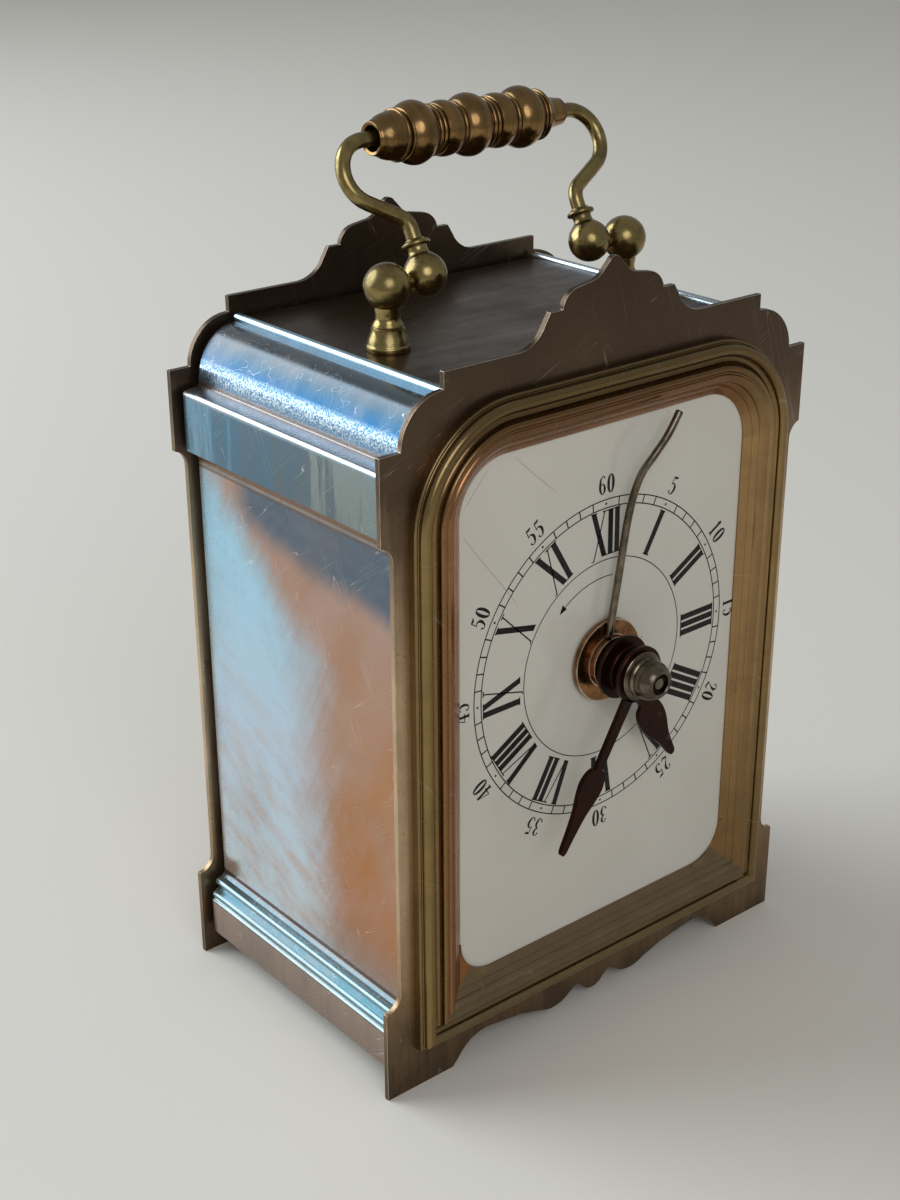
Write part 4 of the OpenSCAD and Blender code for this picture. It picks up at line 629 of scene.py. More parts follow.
# %% The sheet
SHEET_Y = (-23.6, 22.4)  # its front and rear edges
SHEET_OUT = ([(38.8, 4.2)] + arc(38.5, 9.8, 0.3, 0, 80, 3) + arc(38, 10.8, 0.7, -50, 80, 10)
             + [(37.7, 11.8), (37.5, 12.1)] + arc(37.4, 12.9, 0.6, -55, 85, 10)
             + arc(37.3, 14.7, 1.1, 262, 180, 8) + arc(38.1, 83.1, 1.9, 180, 94, 10)
             + [(38.1, 85.1)] + arc(37.5, 93.4, 0.6, 0, 80, 5)
             + [(36, 94.15), (35.5, 94.35)] + arc(29.2, 94.6, 6.2, 0, 90, 28, 7.7) + [(28.95, 102.4)]
             + arc(28.3, 102.8, 0.7, -20, 180, 14))
SHEET_IN = ([(27.6, 102.2), (25.1, 102.2), (25.1, 101.6), (29.2, 101.6)] + arc(29.2, 94.6, 5.6, 84, 0, 12, 7)
            + [(34.8, 93.75), (37.2, 93.5), (37.5, 93.3), (37.5, 85.5)] + arc(38.1, 83.1, 2.5, 104, 180, 8)
            + [(35.6, 13.4), (38.2, 9.7), (38.2, 4.2)])


def side_sheet(side):
    bm = slab([(x, SHEET_Y[0], z) for x, z in SHEET_OUT + SHEET_IN], (0, SHEET_Y[1] - SHEET_Y[0], 0))
    bmesh.ops.scale(bm, vec=(side, 1, 1), verts=bm.verts)
    bmesh.ops.recalc_face_normals(bm, faces=bm.faces)
    return bm


for side, name in ((-1, "side_left"), (1, "side_right")):
    keep(side_sheet(side), name + "_piece", [name], finish["nickel"])

# %% [markdown]
# ## The bezel
#
# The bezel is a moulding bent round the dial, so it is made as its maker would draw it: a section that goes
# along the top, turns about the corner, goes down the side and is mitred to a straight rail at the bottom.
# Extrude and spin carry the section, two cuts through the mitre line trim both rails, and a mirror makes
# the left half. A UV map that runs along the rail, and across it from the opening outwards, makes the
# colours and streaks of its finish follow the moulding.

# %% The section and the paths
SECTION = ([(0, 0), (0, 0.24), (0.12, 0.36), (1.05, 1.0), (1.15, 0.97), (1.27, 1.16), (1.95, 1.6),
            (2.05, 1.57), (2.17, 1.78), (3.0, 2.26), (3.2, 2.28), (3.36, 2.12), (3.55, 2.14)]
           + arc(4.15, 2.06, 0.5, 150, 10, 6) + [(4.72, 1.85)] + arc(5.4, 2.0, 0.66, 200, 335, 8)
           + arc(6.75, 1.72, 0.84, 165, 8, 12) + [(7.58, 1.36)] + arc(7.84, 1.08, 0.3, 130, 0, 6)
           + [(8.16, 0.6), (BEZEL_WIDE, 0.1), (BEZEL_WIDE, 0)])
OVERRUN = 9  # how far the rails run past the opening before the mitre trims them
# Where the UV map's distance along the rail starts: round the corner, down the side and on the bottom rail.
CORNER_U, SIDE_U, BOTTOM_U = 20, 45, 130
CORNER_TURN = 15  # mm of that distance per radian


def pulled(bm, edges, way):
    made = bmesh.ops.extrude_edge_only(bm, edges=edges)["geom"]
    moved(bm, made, way)
    return [e for e in made if isinstance(e, bmesh.types.BMEdge) and len(e.link_faces) < 2 and not e.is_wire]


def trimmed(bm, plane_no):
    """Cuts off what lies beyond the mitre, on the side that the normal points to."""
    bmesh.ops.bisect_plane(bm, geom=bm.verts[:] + bm.edges[:] + bm.faces[:], plane_no=plane_no,
                           clear_outer=True, plane_co=Vector((OPEN_X, 0, OPEN_LOW)) * MM, dist=1e-7)


def outward(x, z):
    """How far a point of the bezel is from the opening's edge, and how far along the rail."""
    side, over = abs(x) - OPEN_X + TOP_R, z - OPEN_TOP + TOP_R
    if side > 0 and over > 0:
        return hypot(side, over) - TOP_R, CORNER_U + CORNER_TURN * atan2(side, over)
    if over > 0:
        return z - OPEN_TOP, abs(x)
    if OPEN_LOW - z > abs(x) - OPEN_X:
        return OPEN_LOW - z, BOTTOM_U + abs(x)
    return abs(x) - OPEN_X, SIDE_U + OPEN_TOP - z

# %% Make the bezel
def half_bezel():
    bm = bmesh.new()
    top_x, top_z = OPEN_X - TOP_R, OPEN_TOP - TOP_R
    edges = pulled(bm, chain(bm, [(0, FACE_Y - h, OPEN_TOP + w) for w, h in SECTION]), (top_x, 0, 0))
    verts = list({v for e in edges for v in e.verts})
    corner = bmesh.ops.spin(bm, geom=edges + verts, steps=20, angle=radians(90), axis=(0, 1, 0),
                            cent=Vector((top_x, 0, top_z)) * MM, use_merge=False)["geom_last"]
    pulled(bm, [e for e in corner if isinstance(e, bmesh.types.BMEdge)], (0, 0, OPEN_LOW - top_z - OVERRUN))
    trimmed(bm, (-1, 0, -1))
    low = bmesh.new()
    pulled(low, chain(low, [(0, FACE_Y - h, OPEN_LOW - w) for w, h in SECTION]), (OPEN_X + OVERRUN, 0, 0))
    trimmed(low, (1, 0, 1))
    merged(bm, low)
    return bm


def bezel():
    bm = half_bezel()
    bmesh.ops.remove_doubles(bm, verts=bm.verts, dist=2e-6)
    bmesh.ops.mirror(bm, geom=bm.verts[:] + bm.edges[:] + bm.faces[:], matrix=Matrix(), merge_dist=2e-6,
                     axis="X")
    bmesh.ops.remove_doubles(bm, verts=bm.verts, dist=2e-6)
    bmesh.ops.bridge_loops(bm, edges=[e for e in bm.edges if e.is_boundary])
    bmesh.ops.recalc_face_normals(bm, faces=bm.faces)
    rail = bm.loops.layers.uv.new("rail")
    for face in bm.faces:
        centre = face.calc_center_median() / MM
        for loop in face.loops:
            spot = loop.vert.co / MM * 0.999 + centre * 0.001  # a hair inside, so it counts to this face
            across, along = outward(spot.x, spot.z)
            loop[rail].uv = (along * MM * (1 if centre.x > 0 else -1), across * MM)
    return bm


keep(bezel(), "bezel_piece", ["bezel"], finish["bezel_brass"], crease=26)

# %% [markdown]
# The web that rounds each lower corner of the opening is a little plate between the two rails of the
# flange. It rises from the dial like the flange, so it is a quarter fan whose curved rim is pulled outwards
# and up to the flange's edge.

# %% The corner webs
WEB_STEP, WEB_RISE = 0.4, 0.66  # its edge next to the dial, and its rise at the flange's edge


def corner_web(side):
    bm = bmesh.new()
    centre = (OPEN_X - LOW_R, OPEN_LOW + LOW_R)
    quarter = arc(*centre, LOW_R, 0, -90, 14)
    for h in (0.0, WEB_STEP):
        chain(bm, [(x, FACE_Y - h, z) for x, z in quarter])
    bmesh.ops.bridge_loops(bm, edges=bm.edges[:])
    rim = [e for e in bm.edges if all(v.co.y < (FACE_Y - WEB_STEP / 2) * MM for v in e.verts)]
    made = bmesh.ops.extrude_edge_only(bm, edges=rim)["geom"]
    for vert in (v for v in made if isinstance(v, bmesh.types.BMVert)):
        x, z = vert.co.x / MM - centre[0], vert.co.z / MM - centre[1]
        grow = (LOW_R + 0.5) / max(abs(x), abs(z))
        vert.co = Vector((centre[0] + x * grow, FACE_Y - WEB_RISE, centre[1] + z * grow)) * MM
    bmesh.ops.scale(bm, vec=(side, 1, 1), verts=bm.verts)
    bmesh.ops.remove_doubles(bm, verts=bm.verts, dist=1e-6)
    bmesh.ops.recalc_face_normals(bm, faces=bm.faces)
    if sum(f.normal.y for f in bm.faces) > 0:
        bmesh.ops.reverse_faces(bm, faces=bm.faces)
    rail = bm.loops.layers.uv.new("rail")
    for face in bm.faces:
        for loop in face.loops:
            spot = loop.vert.co
            turn = atan2(spot.z - centre[1] * MM, abs(spot.x) - centre[0] * MM)
            loop[rail].uv = (turn * LOW_R * MM, FACE_Y * MM - spot.y)
    return bm


for side, name in ((-1, "left"), (1, "right")):
    piece = keep(corner_web(side), "bezel_web_" + name, [], finish["bezel_brass"],
                 frame["nodes"]["bezel"]["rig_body"], 24)

# %% [markdown]
# ## The figures on the dial
#
# Hours are Roman and minutes Arabic, all with their tops outwards, as on most clocks of the kind. They were
# printed from an engraved plate, so thick and thin strokes differ strongly. A thick straight stroke is a
# bar, and a figure's curve is a ribbon whose width swells and thins along a few given points, as a pen's
# does. All of them lie on one flat mesh a fiftieth of a millimetre in front of the enamel.

# %% Strokes
PRINT_Y = FACE_Y - 0.02
PRINT_TURN = -0.8  # degrees: the whole print is a little askew


def smooth(points, steps=5):
    """A curve through points of any number of values. Its slope at each one follows from its neighbours."""
    line = [points[0]] + list(points) + [points[-1]]
    out = []
    for a, b, c, d in zip(line, line[1:], line[2:], line[3:]):
        for i in range(steps):
            t = i / steps
            out.append([0.5 * (2 * q + (r - p) * t + (2 * p - 5 * q + 4 * r - s) * t * t
                               + (3 * q - p - 3 * r + s) * t ** 3) for p, q, r, s in zip(a, b, c, d)])
    return out + [list(points[-1])]


def ribbon(points):
    """The two edges of a stroke whose points are x, y and width."""
    left, right = [], []
    for i, (x, y, w) in enumerate(points):
        ax, ay, _ = points[max(i - 1, 0)]
        bx, by, _ = points[min(i + 1, len(points) - 1)]
        long = hypot(bx - ax, by - ay) or 1
        nx, ny = -(by - ay) / long * w / 2, (bx - ax) / long * w / 2
        left.append((x + nx, y + ny))
        right.append((x - nx, y - ny))
    return left, right


def bar(x0, y0, x1, y1, wide):
    """A straight stroke cut level at both ends."""
    return [(x0 - wide / 2, y0), (x1 - wide / 2, y1)], [(x0 + wide / 2, y0), (x1 + wide / 2, y1)]


def hairline(x0, x1, y):
    return [(x0, y - 0.09), (x1, y - 0.09)], [(x0, y + 0.09), (x1, y + 0.09)]

# %% Roman and Arabic figures
TALL = 6.7  # height of a Roman figure
THICK, THIN, PITCH = 0.92, 0.2, 1.25


def roman(text):
    """The strokes of a Roman figure, and its width."""
    strokes, x = [], 0.0
    for letter in text:
        if letter == "I":
            strokes += [bar(x + 0.62, 0, x + 0.62, TALL, THICK)]
            strokes += [hairline(x, x + PITCH, y) for y in (0.05, TALL - 0.05)]
            x += PITCH
            continue
        foot = 1.55 if letter == "V" else 2.6
        strokes += [bar(x + 0.5, TALL, x + foot, 0, THICK), hairline(x, x + 1.15, TALL - 0.05)]
        if letter == "V":
            strokes += [bar(x + foot + 0.2, 0.1, x + 2.6, TALL, THIN)]
            strokes += [hairline(x + 2.1, x + 3.0, TALL - 0.05)]
        else:
            tail = smooth([(x + 0.25, -0.5, 0.1), (x + 0.62, -0.35, 0.2), (x + 0.85, 0.3, THIN),
                           (x + 2.6, TALL, THIN)], 6)
            strokes += [ribbon(tail), hairline(x + 2.15, x + 3.1, TALL - 0.05)]
            strokes += [hairline(x + 2.1, x + 3.1, 0.05)]
        x += 3.0 if letter == "V" else 3.15
    return strokes, x


def round_nought():
    turns = angles(0, 360, 20)[:-1]
    return [(0.65 + 0.44 * sin(a), 1.3 + 1.24 * cos(a), 0.07 + 0.27 * abs(sin(a))) for a in turns]


FIGURES = {
    "0": [round_nought()],
    "1": [smooth([(0.2, 2.0, 0.06), (0.42, 2.18, 0.08), (0.6, 2.5, 0.12)]),
          [(0.66, 2.56, 0.3), (0.66, 0.04, 0.3)], [(0.28, 0.04, 0.08), (1.04, 0.04, 0.08)]],
    "2": [smooth([(0.28, 1.95, 0.2), (0.32, 2.3, 0.12), (0.62, 2.55, 0.07), (0.96, 2.25, 0.26),
                  (0.98, 1.85, 0.3), (0.76, 1.3, 0.16), (0.4, 0.75, 0.08), (0.17, 0.28, 0.08)]),
          smooth([(0.15, 0.2, 0.1), (0.45, 0.3, 0.24), (0.8, 0.1, 0.22), (1.06, 0.22, 0.1),
                  (1.14, 0.55, 0.06)])],
    "3": [smooth([(0.26, 2.05, 0.22), (0.34, 2.38, 0.1), (0.64, 2.55, 0.07), (0.95, 2.2, 0.27),
                  (0.9, 1.72, 0.22), (0.52, 1.42, 0.07)]),
          smooth([(0.52, 1.42, 0.07), (0.94, 1.2, 0.22), (1.05, 0.7, 0.3), (0.88, 0.2, 0.18),
                  (0.58, 0.04, 0.07), (0.3, 0.18, 0.1), (0.22, 0.48, 0.24)])],
    "4": [[(0.86, 2.56, 0.28), (0.86, 0.04, 0.28)], [(0.82, 2.54, 0.07), (0.06, 0.78, 0.08)],
          [(0.04, 0.76, 0.09), (1.28, 0.76, 0.09)], [(0.5, 0.04, 0.08), (1.2, 0.04, 0.08)]],
    "5": [smooth([(0.34, 2.45, 0.12), (0.7, 2.36, 0.26), (1.1, 2.52, 0.1)]),
          [(0.36, 2.5, 0.08), (0.28, 1.4, 0.08)],
          smooth([(0.28, 1.36, 0.07), (0.6, 1.6, 0.09), (0.98, 1.3, 0.26), (1.06, 0.85, 0.3),
                  (0.86, 0.25, 0.18), (0.54, 0.04, 0.07), (0.27, 0.18, 0.12), (0.22, 0.48, 0.22)])],
    "6": [smooth([(1.03, 2.2, 0.2), (0.93, 2.48, 0.1), (0.68, 2.56, 0.07), (0.34, 2.1, 0.22),
                  (0.24, 1.3, 0.3), (0.3, 0.6, 0.28), (0.66, 0.04, 0.07), (1.0, 0.4, 0.24), (1.06, 0.8, 0.28),
                  (0.92, 1.3, 0.16), (0.64, 1.5, 0.07), (0.34, 1.25, 0.1)])],
}
FIGURE_PITCH, FIGURE_GROW = 1.6, 1.06  # how far apart they stand, and how much larger than drawn here

# %% [markdown]
# One function lays all strokes on the dial. A stroke is two rows of vertices with faces between them, and
# each figure is drawn upright and then placed at its own angle from twelve and its own distance from the
# centre.

# %% Print the dial
HOUR_FOOT, MINUTE_FOOT = 15.8, 24.95  # radii where the hours' and the minutes' figures stand
TRACK_IN, TRACK_OUT, DOT_AT, DOT_R = 22.85, 24.1, 23.47, 0.18  # the minute track and its dots
INNER_R, ARROW_R = 15.1, 12.55  # the circle under the hours, and the arc with an arrowhead
ARROW_START, ARROW_END, ARROW_LONG = 367, 319, 1.8  # degrees round the dial, the head's length too


def printed():
    bm = bmesh.new()

    def strip(left, right, place, closed=False):
        """Fills a stroke between its two edges. place turns its points into points of the dial."""
        edges = []
        for side in (left, right):
            verts = [bm.verts.new(Vector((x, PRINT_Y, z)) * MM) for x, z in (place(*p) for p in side)]
            if closed:
                verts.append(verts[0])
            edges += [bm.edges.new(pair) for pair in zip(verts, verts[1:])]
        bmesh.ops.bridge_loops(bm, edges=edges)

    def radial(angle, low, half):
        """Places points drawn upright, x to the right and y up, on the dial at an angle from twelve."""
        a = radians(angle + PRINT_TURN)
        return lambda x, y: ((x - half) * cos(a) + (y + low) * sin(a),
                             CENTRE_Z - (x - half) * sin(a) + (y + low) * cos(a))

    def ring(r, wide, start=0, end=360, steps=180):
        full = end - start == 360
        turns = angles(start, end, steps)[:-1 if full else None]
        edges = [[(edge * sin(a), edge * cos(a)) for a in turns] for edge in (r - wide / 2, r + wide / 2)]
        strip(*edges, radial(0, 0, 0), full)

    for hour, text in enumerate(("XII", "I", "II", "III", "IIII", "V", "VI", "VII", "VIII", "IX", "X", "XI")):
        strokes, wide = roman(text)
        for left, right in strokes:
            strip(left, right, radial(30 * hour, HOUR_FOOT, wide / 2))
        digits = str(5 * hour or 60)
        for i, digit in enumerate(digits):
            half = FIGURE_PITCH * (len(digits) / 2 - i) - 0.12
            for stroke in FIGURES[digit]:
                inked = [(x * FIGURE_GROW, y * FIGURE_GROW, w * 1.3 + 0.03) for x, y, w in stroke]
                strip(*ribbon(inked), radial(30 * hour, MINUTE_FOOT, half), digit == "0")
    for r, wide in ((TRACK_IN, 0.17), (TRACK_OUT, 0.17), (INNER_R, 0.14)):
        ring(r, wide)
    for minute in range(60):
        place = radial(6 * minute, 0, 0)
        if minute % 5:
            strip(*[[(x, TRACK_IN), (x, TRACK_OUT)] for x in (-0.1, 0.1)], place)
        else:
            turns = angles(0, 180, 6)
            strip(*[[(s * DOT_R * sin(a), DOT_AT - DOT_R * cos(a)) for a in turns] for s in (-1, 1)], place)
    ring(ARROW_R, 0.14, ARROW_START, ARROW_END, 30)
    strip(*[[(0, ARROW_R), (1.35, y)] for y in (12.0, 13.15)], radial(ARROW_END - ARROW_LONG, 0, 0))
    bmesh.ops.remove_doubles(bm, verts=bm.verts, dist=1e-7)
    bmesh.ops.recalc_face_normals(bm, faces=bm.faces)
    bmesh.ops.reverse_faces(bm, faces=[f for f in bm.faces if f.normal.y > 0])
    return bm


piece = keep(printed(), "dial_figures", [], finish["figures"], frame["nodes"]["dial"]["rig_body"])

# %% [markdown]
# ## The handle
#
# Posts, knuckles and grip were turned on a lathe, so each is half an outline spun round its axis. The
# outlines follow the drawing, with the rings as small round beads, which give the fine bright lines that a
# lathe leaves.

# %% Lathe helpers
def spun(bm, outline, steps=64):
    """Spins an outline of (radius, height) in millimetres round Z."""
    edges = chain(bm, [(r, 0, h) for r, h in outline])
    verts = list({v for e in edges for v in e.verts})
    bmesh.ops.spin(bm, geom=edges + verts, steps=steps, angle=radians(360), cent=(0, 0, 0), axis=(0, 0, 1),
                   use_merge=True)


def placed(bm, place):
    """Moves a bmesh by a matrix in millimetres."""
    bmesh.ops.transform(bm, matrix=Matrix.Scale(MM, 4) @ place @ Matrix.Scale(1 / MM, 4), verts=bm.verts)


def turned(outlines):
    """One bmesh of several spun shapes, each an outline and a matrix in millimetres."""
    bm = bmesh.new()
    for outline, place in outlines:
        part = bmesh.new()
        spun(part, outline)
        bmesh.ops.remove_doubles(part, verts=part.verts, dist=1e-6)
        bmesh.ops.recalc_face_normals(part, faces=part.faces)
        placed(part, place)
        merged(bm, part)
    return bm


def crest(centre, r, swell, start=-90, end=90, steps=6):
    """A bead on an outline of (radius, height), of half width swell about a height, out to radius r."""
    return arc(r - swell, centre, swell, start, end, steps)

# %% Posts and knuckles
POST_X, KNUCKLE_X, KNUCKLE_UP = 21.8, 15.1, 0.6
POST_RISE = PIVOT.z - ROOF_Z

# Outlines of (radius, height), the post's from the roof up and the knuckle's from the pivot up.
post = ([(0, 0), (3.0, 0), (3.05, 0.08), (3.05, 0.62), (2.98, 0.75)]
        + smooth([(2.9, 0.85), (2.72, 1.5), (2.5, 2.1), (2.36, 2.6)], 3)
        + [(2.3, 2.95), (2.14, 3.0), (2.14, 3.12)] + crest(3.34, 2.16, 0.14, -80, 80)
        + smooth([(2.0, 3.6), (1.74, 4.1), (1.68, 4.6), (1.78, 5.3)], 3)
        + arc(0, POST_RISE, 3.2, -56, 90, 14))
keep(turned([(post, Matrix.Translation((s * POST_X, PIVOT.y, ROOF_Z))) for s in (-1, 1)]), "posts_piece",
     ["posts"], finish["handle_brass"])

knuckle = (arc(0, KNUCKLE_UP, 3.0, -90, 48, 14)
           + smooth([(1.9, 2.95), (1.5, 3.3), (1.34, 3.75), (1.36, 4.2)], 3) + [(1.42, 4.35)]
           + crest(4.74, 2.0, 0.36, -75, 75) + [(1.5, 5.16), (1.35, 5.3), (1.3, 5.4), (0, 5.4)])
keep(turned([(knuckle, LEAN @ Matrix.Translation((s * KNUCKLE_X, 0, 0))) for s in (-1, 1)]), "knuckles_piece",
     ["knuckles"], finish["handle_brass"])

# %% [markdown]
# The wire was bent from one rod: up from a knuckle, out round a small bend, and back over a larger one into
# the grip. A straight piece touches both bends, and its slope follows from their radii. A ring of points is
# swept along that path.

# %% The wire
BEND_X, BEND_R, FOOT_R = 18.5, 4.5, 2.5  # where the large bend is, and the radii of both
FOOT_RISE, WIRE_FOOT = 6.05, 4.6  # the small bend and the wire's end over the knuckle's centre


def wire_path():
    """The wire from knuckle to knuckle, as x and height over the pivots."""
    foot_x, foot_z = KNUCKLE_X + FOOT_R, KNUCKLE_UP + FOOT_RISE
    bend_z = HANDLE - BEND_R
    dx, dz = foot_x - BEND_X, foot_z - bend_z
    slope = -degrees(atan2(dz, dx)) - degrees(acos((BEND_R + FOOT_R) / hypot(dx, dz)))
    half = [(0, HANDLE)] + arc(BEND_X, bend_z, BEND_R, 90, -slope, 22)
    half += arc(foot_x, foot_z, FOOT_R, 180 - slope, 180, 9) + [(KNUCKLE_X, KNUCKLE_UP + WIRE_FOOT)]
    return [(-x, z) for x, z in half[:0:-1]] + half


def swept(points, r, flat, steps):
    """A rod of radius r along points in millimetres. flat is roughly across its bends."""
    bm = bmesh.new()
    rings = []
    for i, p in enumerate(points):
        ahead = (Vector(points[min(i + 1, len(points) - 1)]) - Vector(points[max(i - 1, 0)])).normalized()
        across = (Vector(flat) - ahead * ahead.dot(Vector(flat))).normalized()
        upright = Matrix((ahead.cross(across), across, ahead)).transposed().to_4x4()
        upright.translation = Vector(p) * MM
        ring = bmesh.ops.create_circle(bm, segments=steps, radius=r * MM, matrix=upright)["verts"]
        rings.append(list({e for v in ring for e in v.link_edges}))
    for a, b in zip(rings, rings[1:]):
        bmesh.ops.bridge_loops(bm, edges=a + b)
    bmesh.ops.holes_fill(bm, edges=[e for e in bm.edges if e.is_boundary], sides=0)
    bmesh.ops.recalc_face_normals(bm, faces=bm.faces)
    return bm


wire = [LEAN @ Vector((x, 0, z)) for x, z in wire_path()]
keep(swept(wire, WIRE_R, (0, 1, 0), 28), "handle_wire_piece", ["handle_wire"], finish["handle_brass"])

# %% [markdown]
# The grip has three swellings. Between two of them come a pair of rings, a small barrel and a third ring,
# and its ends taper to the wire. Its outline is written once for a swelling and once for a waist, which are
# set side by side.

# %% The grip
WAIST_R = 3.1  # radius between the rings


def swelling(c):
    return [(4.35 - 0.9 * (i / 6) ** 2, c + 2.1 * i / 6) for i in range(-6, 7)]


def waist(c):
    barrel = [(3.82 - 0.3 * (i / 4) ** 2, c + 5.15 + 1.35 * i / 4) for i in range(-4, 5)]
    return ([(WAIST_R, c + 2.2)] + crest(c + 2.52, 3.58, 0.28, -80, 80) + [(3.12, c + 2.86), (3.08, c + 3.0)]
            + crest(c + 3.32, 3.5, 0.26, -80, 80) + [(3.12, c + 3.66)] + barrel + [(WAIST_R, c + 6.6)]
            + crest(c + 6.98, 3.56, 0.28, -80, 80) + [(WAIST_R, c + 7.36)])


def grip_outline():
    """Radius against the place along the grip, from its left end to its right one."""
    pitch = (GRIP_HALF + 2.2) / 2
    first, second, third = (i * pitch - 0.3 for i in (-1, 0, 1))
    collar, end = pitch + 3.3, GRIP_HALF
    left = [(1.12, 3 - end), (1.7, 1 - end), (1.8, 0.15 - end)] + crest(0.14 - end, 2.3, 0.14, -90, 60, 4)
    left += smooth([(2.34, 0.4 - end), (2.6, 1.1 - end), (3.0, 1.9 - end), (3.36, 0.4 - collar - 0.9)], 4)
    left += [(3.36, -collar - 0.35)] + crest(-collar - 0.06, 3.62, 0.26, -80, 80)
    left += [(3.12, 0.3 - collar), (3.12, 0.5 - collar)] + crest(0.86 - collar, 3.6, 0.24, -80, 80)
    left += [(3.3, 1.12 - collar)]
    right = [(WAIST_R, collar - 1.35)] + crest(collar - 1.0, 3.45, 0.2, -80, 80) + [(WAIST_R, collar - 0.72)]
    right += crest(collar - 0.4, 3.6, 0.26, -80, 80) + [(WAIST_R, collar - 0.05)]
    right += smooth([(3.02, collar), (2.75, collar + 0.7), (2.3, collar + 1.4), (1.9, end - 0.2)], 4)
    right += [(1.75, end), (1.12, end)]
    return left + swelling(first) + waist(first) + swelling(second) + waist(second) + swelling(third) + right


along_x = LEAN @ Matrix.Translation((0, 0, HANDLE)) @ Matrix.Rotation(radians(90), 4, "Y")
keep(turned([(grip_outline(), along_x)]), "grip_piece", ["grip"], finish["grip_brass"])

# %% [markdown]
# ## The alarm pointer and the collet
#
# The pointer is a bent wire soldered to its disc. The CAD model builds it of straight rods, and here one
# smooth curve goes through the same points. Its end is rounded. The collet in front of the hands is turned,
# with a hollow for the arbor's end.

# %% Pointer and collet
ALARM_ANGLE = 8.5
POINTER_R = 0.55
# Its points, with it upright: x and y on the dial, and the height before the dial.
POINTER = [(-1.3, 4.1, 1.75), (-1.16, 13, 1.82), (-1.0, 22, 1.9), (-0.7, 27.4, 2.65), (0.7, 30.6, 3.4),
           (2.8, 33.3, 3.4), (4.5, 36.6, 3.4)]


def pointer():
    turn = radians(ALARM_ANGLE)
    path = [Vector((x * cos(turn) + up * sin(turn), FACE_Y - h, CENTRE_Z - x * sin(turn) + up * cos(turn)))
            for x, up, h in smooth(POINTER, 6)]
    bm = swept(path, POINTER_R, (0, 1, 0), 18)
    for face in [f for f in bm.faces if len(f.verts) > 4]:
        rounded(bm, list(face.edges), 0.2, 3, clamp=False)
    return bm


keep(pointer(), "alarm_pointer_piece", ["alarm_pointer"], finish["collet"], crease=50)

COLLET_FOOT, COLLET_H = 7.5, 4.1  # its rear face in front of the dial, and its length
collet = ([(1.5, 0), (3.5, 0), (3.6, 0.1), (3.6, 0.42), (3.5, 0.52), (3.0, 0.62)]
          + crest(1.0, 3.05, 0.3, -70, 70) + [(2.78, 1.42)]
          + smooth([(2.86, 1.6), (2.9, 2.2), (2.72, 3.0), (2.4, 3.6)], 4)
          + [(2.2, 3.9), (1.95, COLLET_H), (1.6, COLLET_H), (1.5, COLLET_H - 0.1), (1.5, COLLET_H - 1.4),
             (0.85, COLLET_H - 1.4)])
keep(turned([(collet, DIAL @ Matrix.Translation((0, 0, COLLET_FOOT)))]), "hand_collet_piece", ["hand_collet"],
     finish["collet"])

# %% [markdown]
# ## The hands
#
# Each hand was sawn from steel sheet: a straight stem and a pear whose shoulders are round and whose tip is
# drawn out. One side of the blade is a curve through points of half its width and the distance from the
# centre. The blade is that outline and its mirror image, filled and pulled out to the sheet's thickness.
# Its hub is a turned ring.

# %% Hands
HOUR = [(0.85, 4.3), (0.82, 8.0), (0.95, 8.6), (1.7, 9.1), (2.25, 10.2), (2.45, 11.6), (2.35, 13.0),
        (1.95, 14.6), (1.35, 16.2), (0.98, 17.8), (0.78, 19.3), (0.66, 20.1), (0.4, 20.65), (0, 20.8)]
MINUTE = [(0.85, 3.8), (0.72, 14.1), (0.85, 14.5), (1.4, 14.9), (1.95, 15.7), (2.25, 16.9), (2.15, 18.2),
          (1.75, 19.7), (1.3, 21.2), (0.98, 23.0), (0.75, 25.0), (0.58, 26.8), (0.48, 27.3), (0.28, 27.7),
          (0, 27.8)]
SOFT = 0.1  # how far its edges are rounded


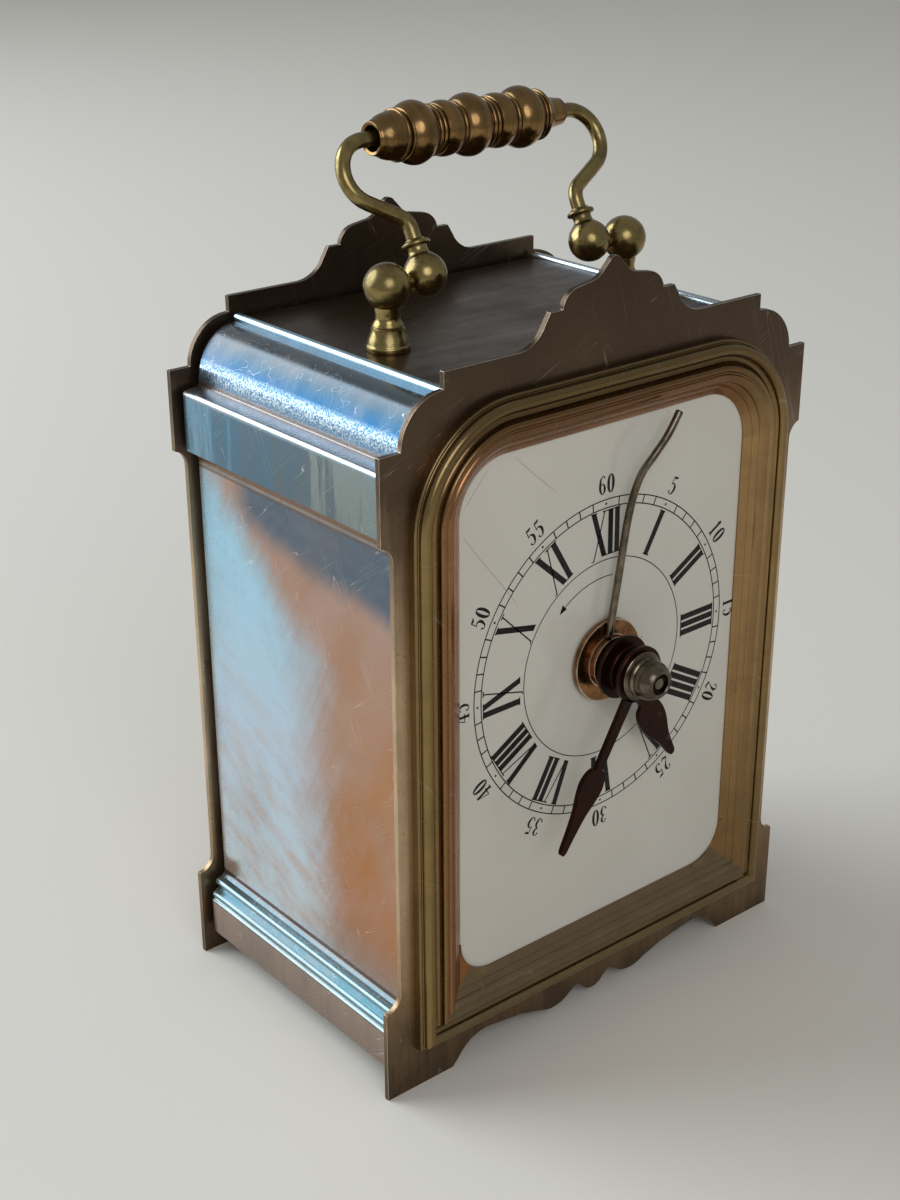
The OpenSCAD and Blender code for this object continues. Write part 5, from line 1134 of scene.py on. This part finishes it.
def hand(half, angle, low, high, hub, boss, boss_h, bore):
    """angle is clockwise from twelve, low to high the sheet's layer before the dial, the rest its hub."""
    curve = smooth(half, 4)
    outline = curve + [(-w, d) for w, d in curve[-2::-1]]
    blade = slab([(w, d, low) for w, d in outline], (0, 0, high - low))
    rounded(blade, [e for e in blade.edges if e.calc_face_angle(0) > radians(60)], SOFT, 2)
    place = DIAL @ Matrix.Rotation(radians(-angle), 4, "Z")
    placed(blade, place)
    ring = [(bore, low), (hub - SOFT, low), (hub, low + SOFT), (hub, high - SOFT), (hub - SOFT, high),
            (boss, high), (boss, boss_h - SOFT), (boss - SOFT, boss_h), (bore, boss_h), (bore, low)]
    bm = turned([(ring, place)])
    merged(bm, blade)
    return bm


hands = {"hour_hand": hand(HOUR, angle=148, low=3.6, high=4.3, hub=4.7, boss=3.6, boss_h=5.4, bore=2.1),
         "minute_hand": hand(MINUTE, angle=210.5, low=6.8, high=7.5, hub=4.2, boss=3.0, boss_h=7.7,
                             bore=1.5)}
for node, made in hands.items():
    flats_stay_flat(keep(made, node + "_piece", [node], finish["hand_steel"]))

# %% [markdown]
# ## Floor and light
#
# A pale warm table, one large soft lamp from behind on the left, where the window was, and a weak sky all
# round.

# %% Floor and light
FLOOR = 3  # metres from its middle to its edge
floor_bm = bmesh.new()
bmesh.ops.create_grid(floor_bm, x_segments=1, y_segments=1, size=FLOOR)
floor_mesh = bpy.data.meshes.new("floor")
floor_bm.to_mesh(floor_mesh)
floor_bm.free()
floor = bpy.data.objects.new("floor", floor_mesh)
scene.collection.objects.link(floor)
table, table_tree = new_material("pale table")
table_shader = put(table_tree, "BsdfPrincipled", ins={"Base Color": "#e0d8ca", "Roughness": 0.9})
put(table_tree, "OutputMaterial", table_shader)
floor_mesh.materials.append(table)


def lamp(name, place, aim, size, watts, code):
    """A round lamp at a place in metres, aimed at a point. size is its diameter."""
    data = bpy.data.lights.new(name, "AREA")
    data.shape, data.size, data.energy, data.color = "DISK", size, watts, colour(code)[:3]
    made = bpy.data.objects.new(name, data)
    made.location = Vector(place)
    made.rotation_euler = (Vector(aim) - Vector(place)).to_track_quat("-Z", "Y").to_euler()
    scene.collection.objects.link(made)


lamp("window", (-0.64, 0.9, 0.6), (0, 0, 0.08), size=1.2, watts=19, code="#dce8f5")
lamp("fill", (-0.3, -0.6, 0.45), (0, 0, 0.06), size=0.5, watts=1.8, code="#f1f4ff")
world = bpy.data.worlds.new("sky")
world.use_nodes = True
world.node_tree.nodes["Background"].inputs["Color"].default_value = colour("#cfd4d8")
world.node_tree.nodes["Background"].inputs["Strength"].default_value = 0.55
scene.world = world
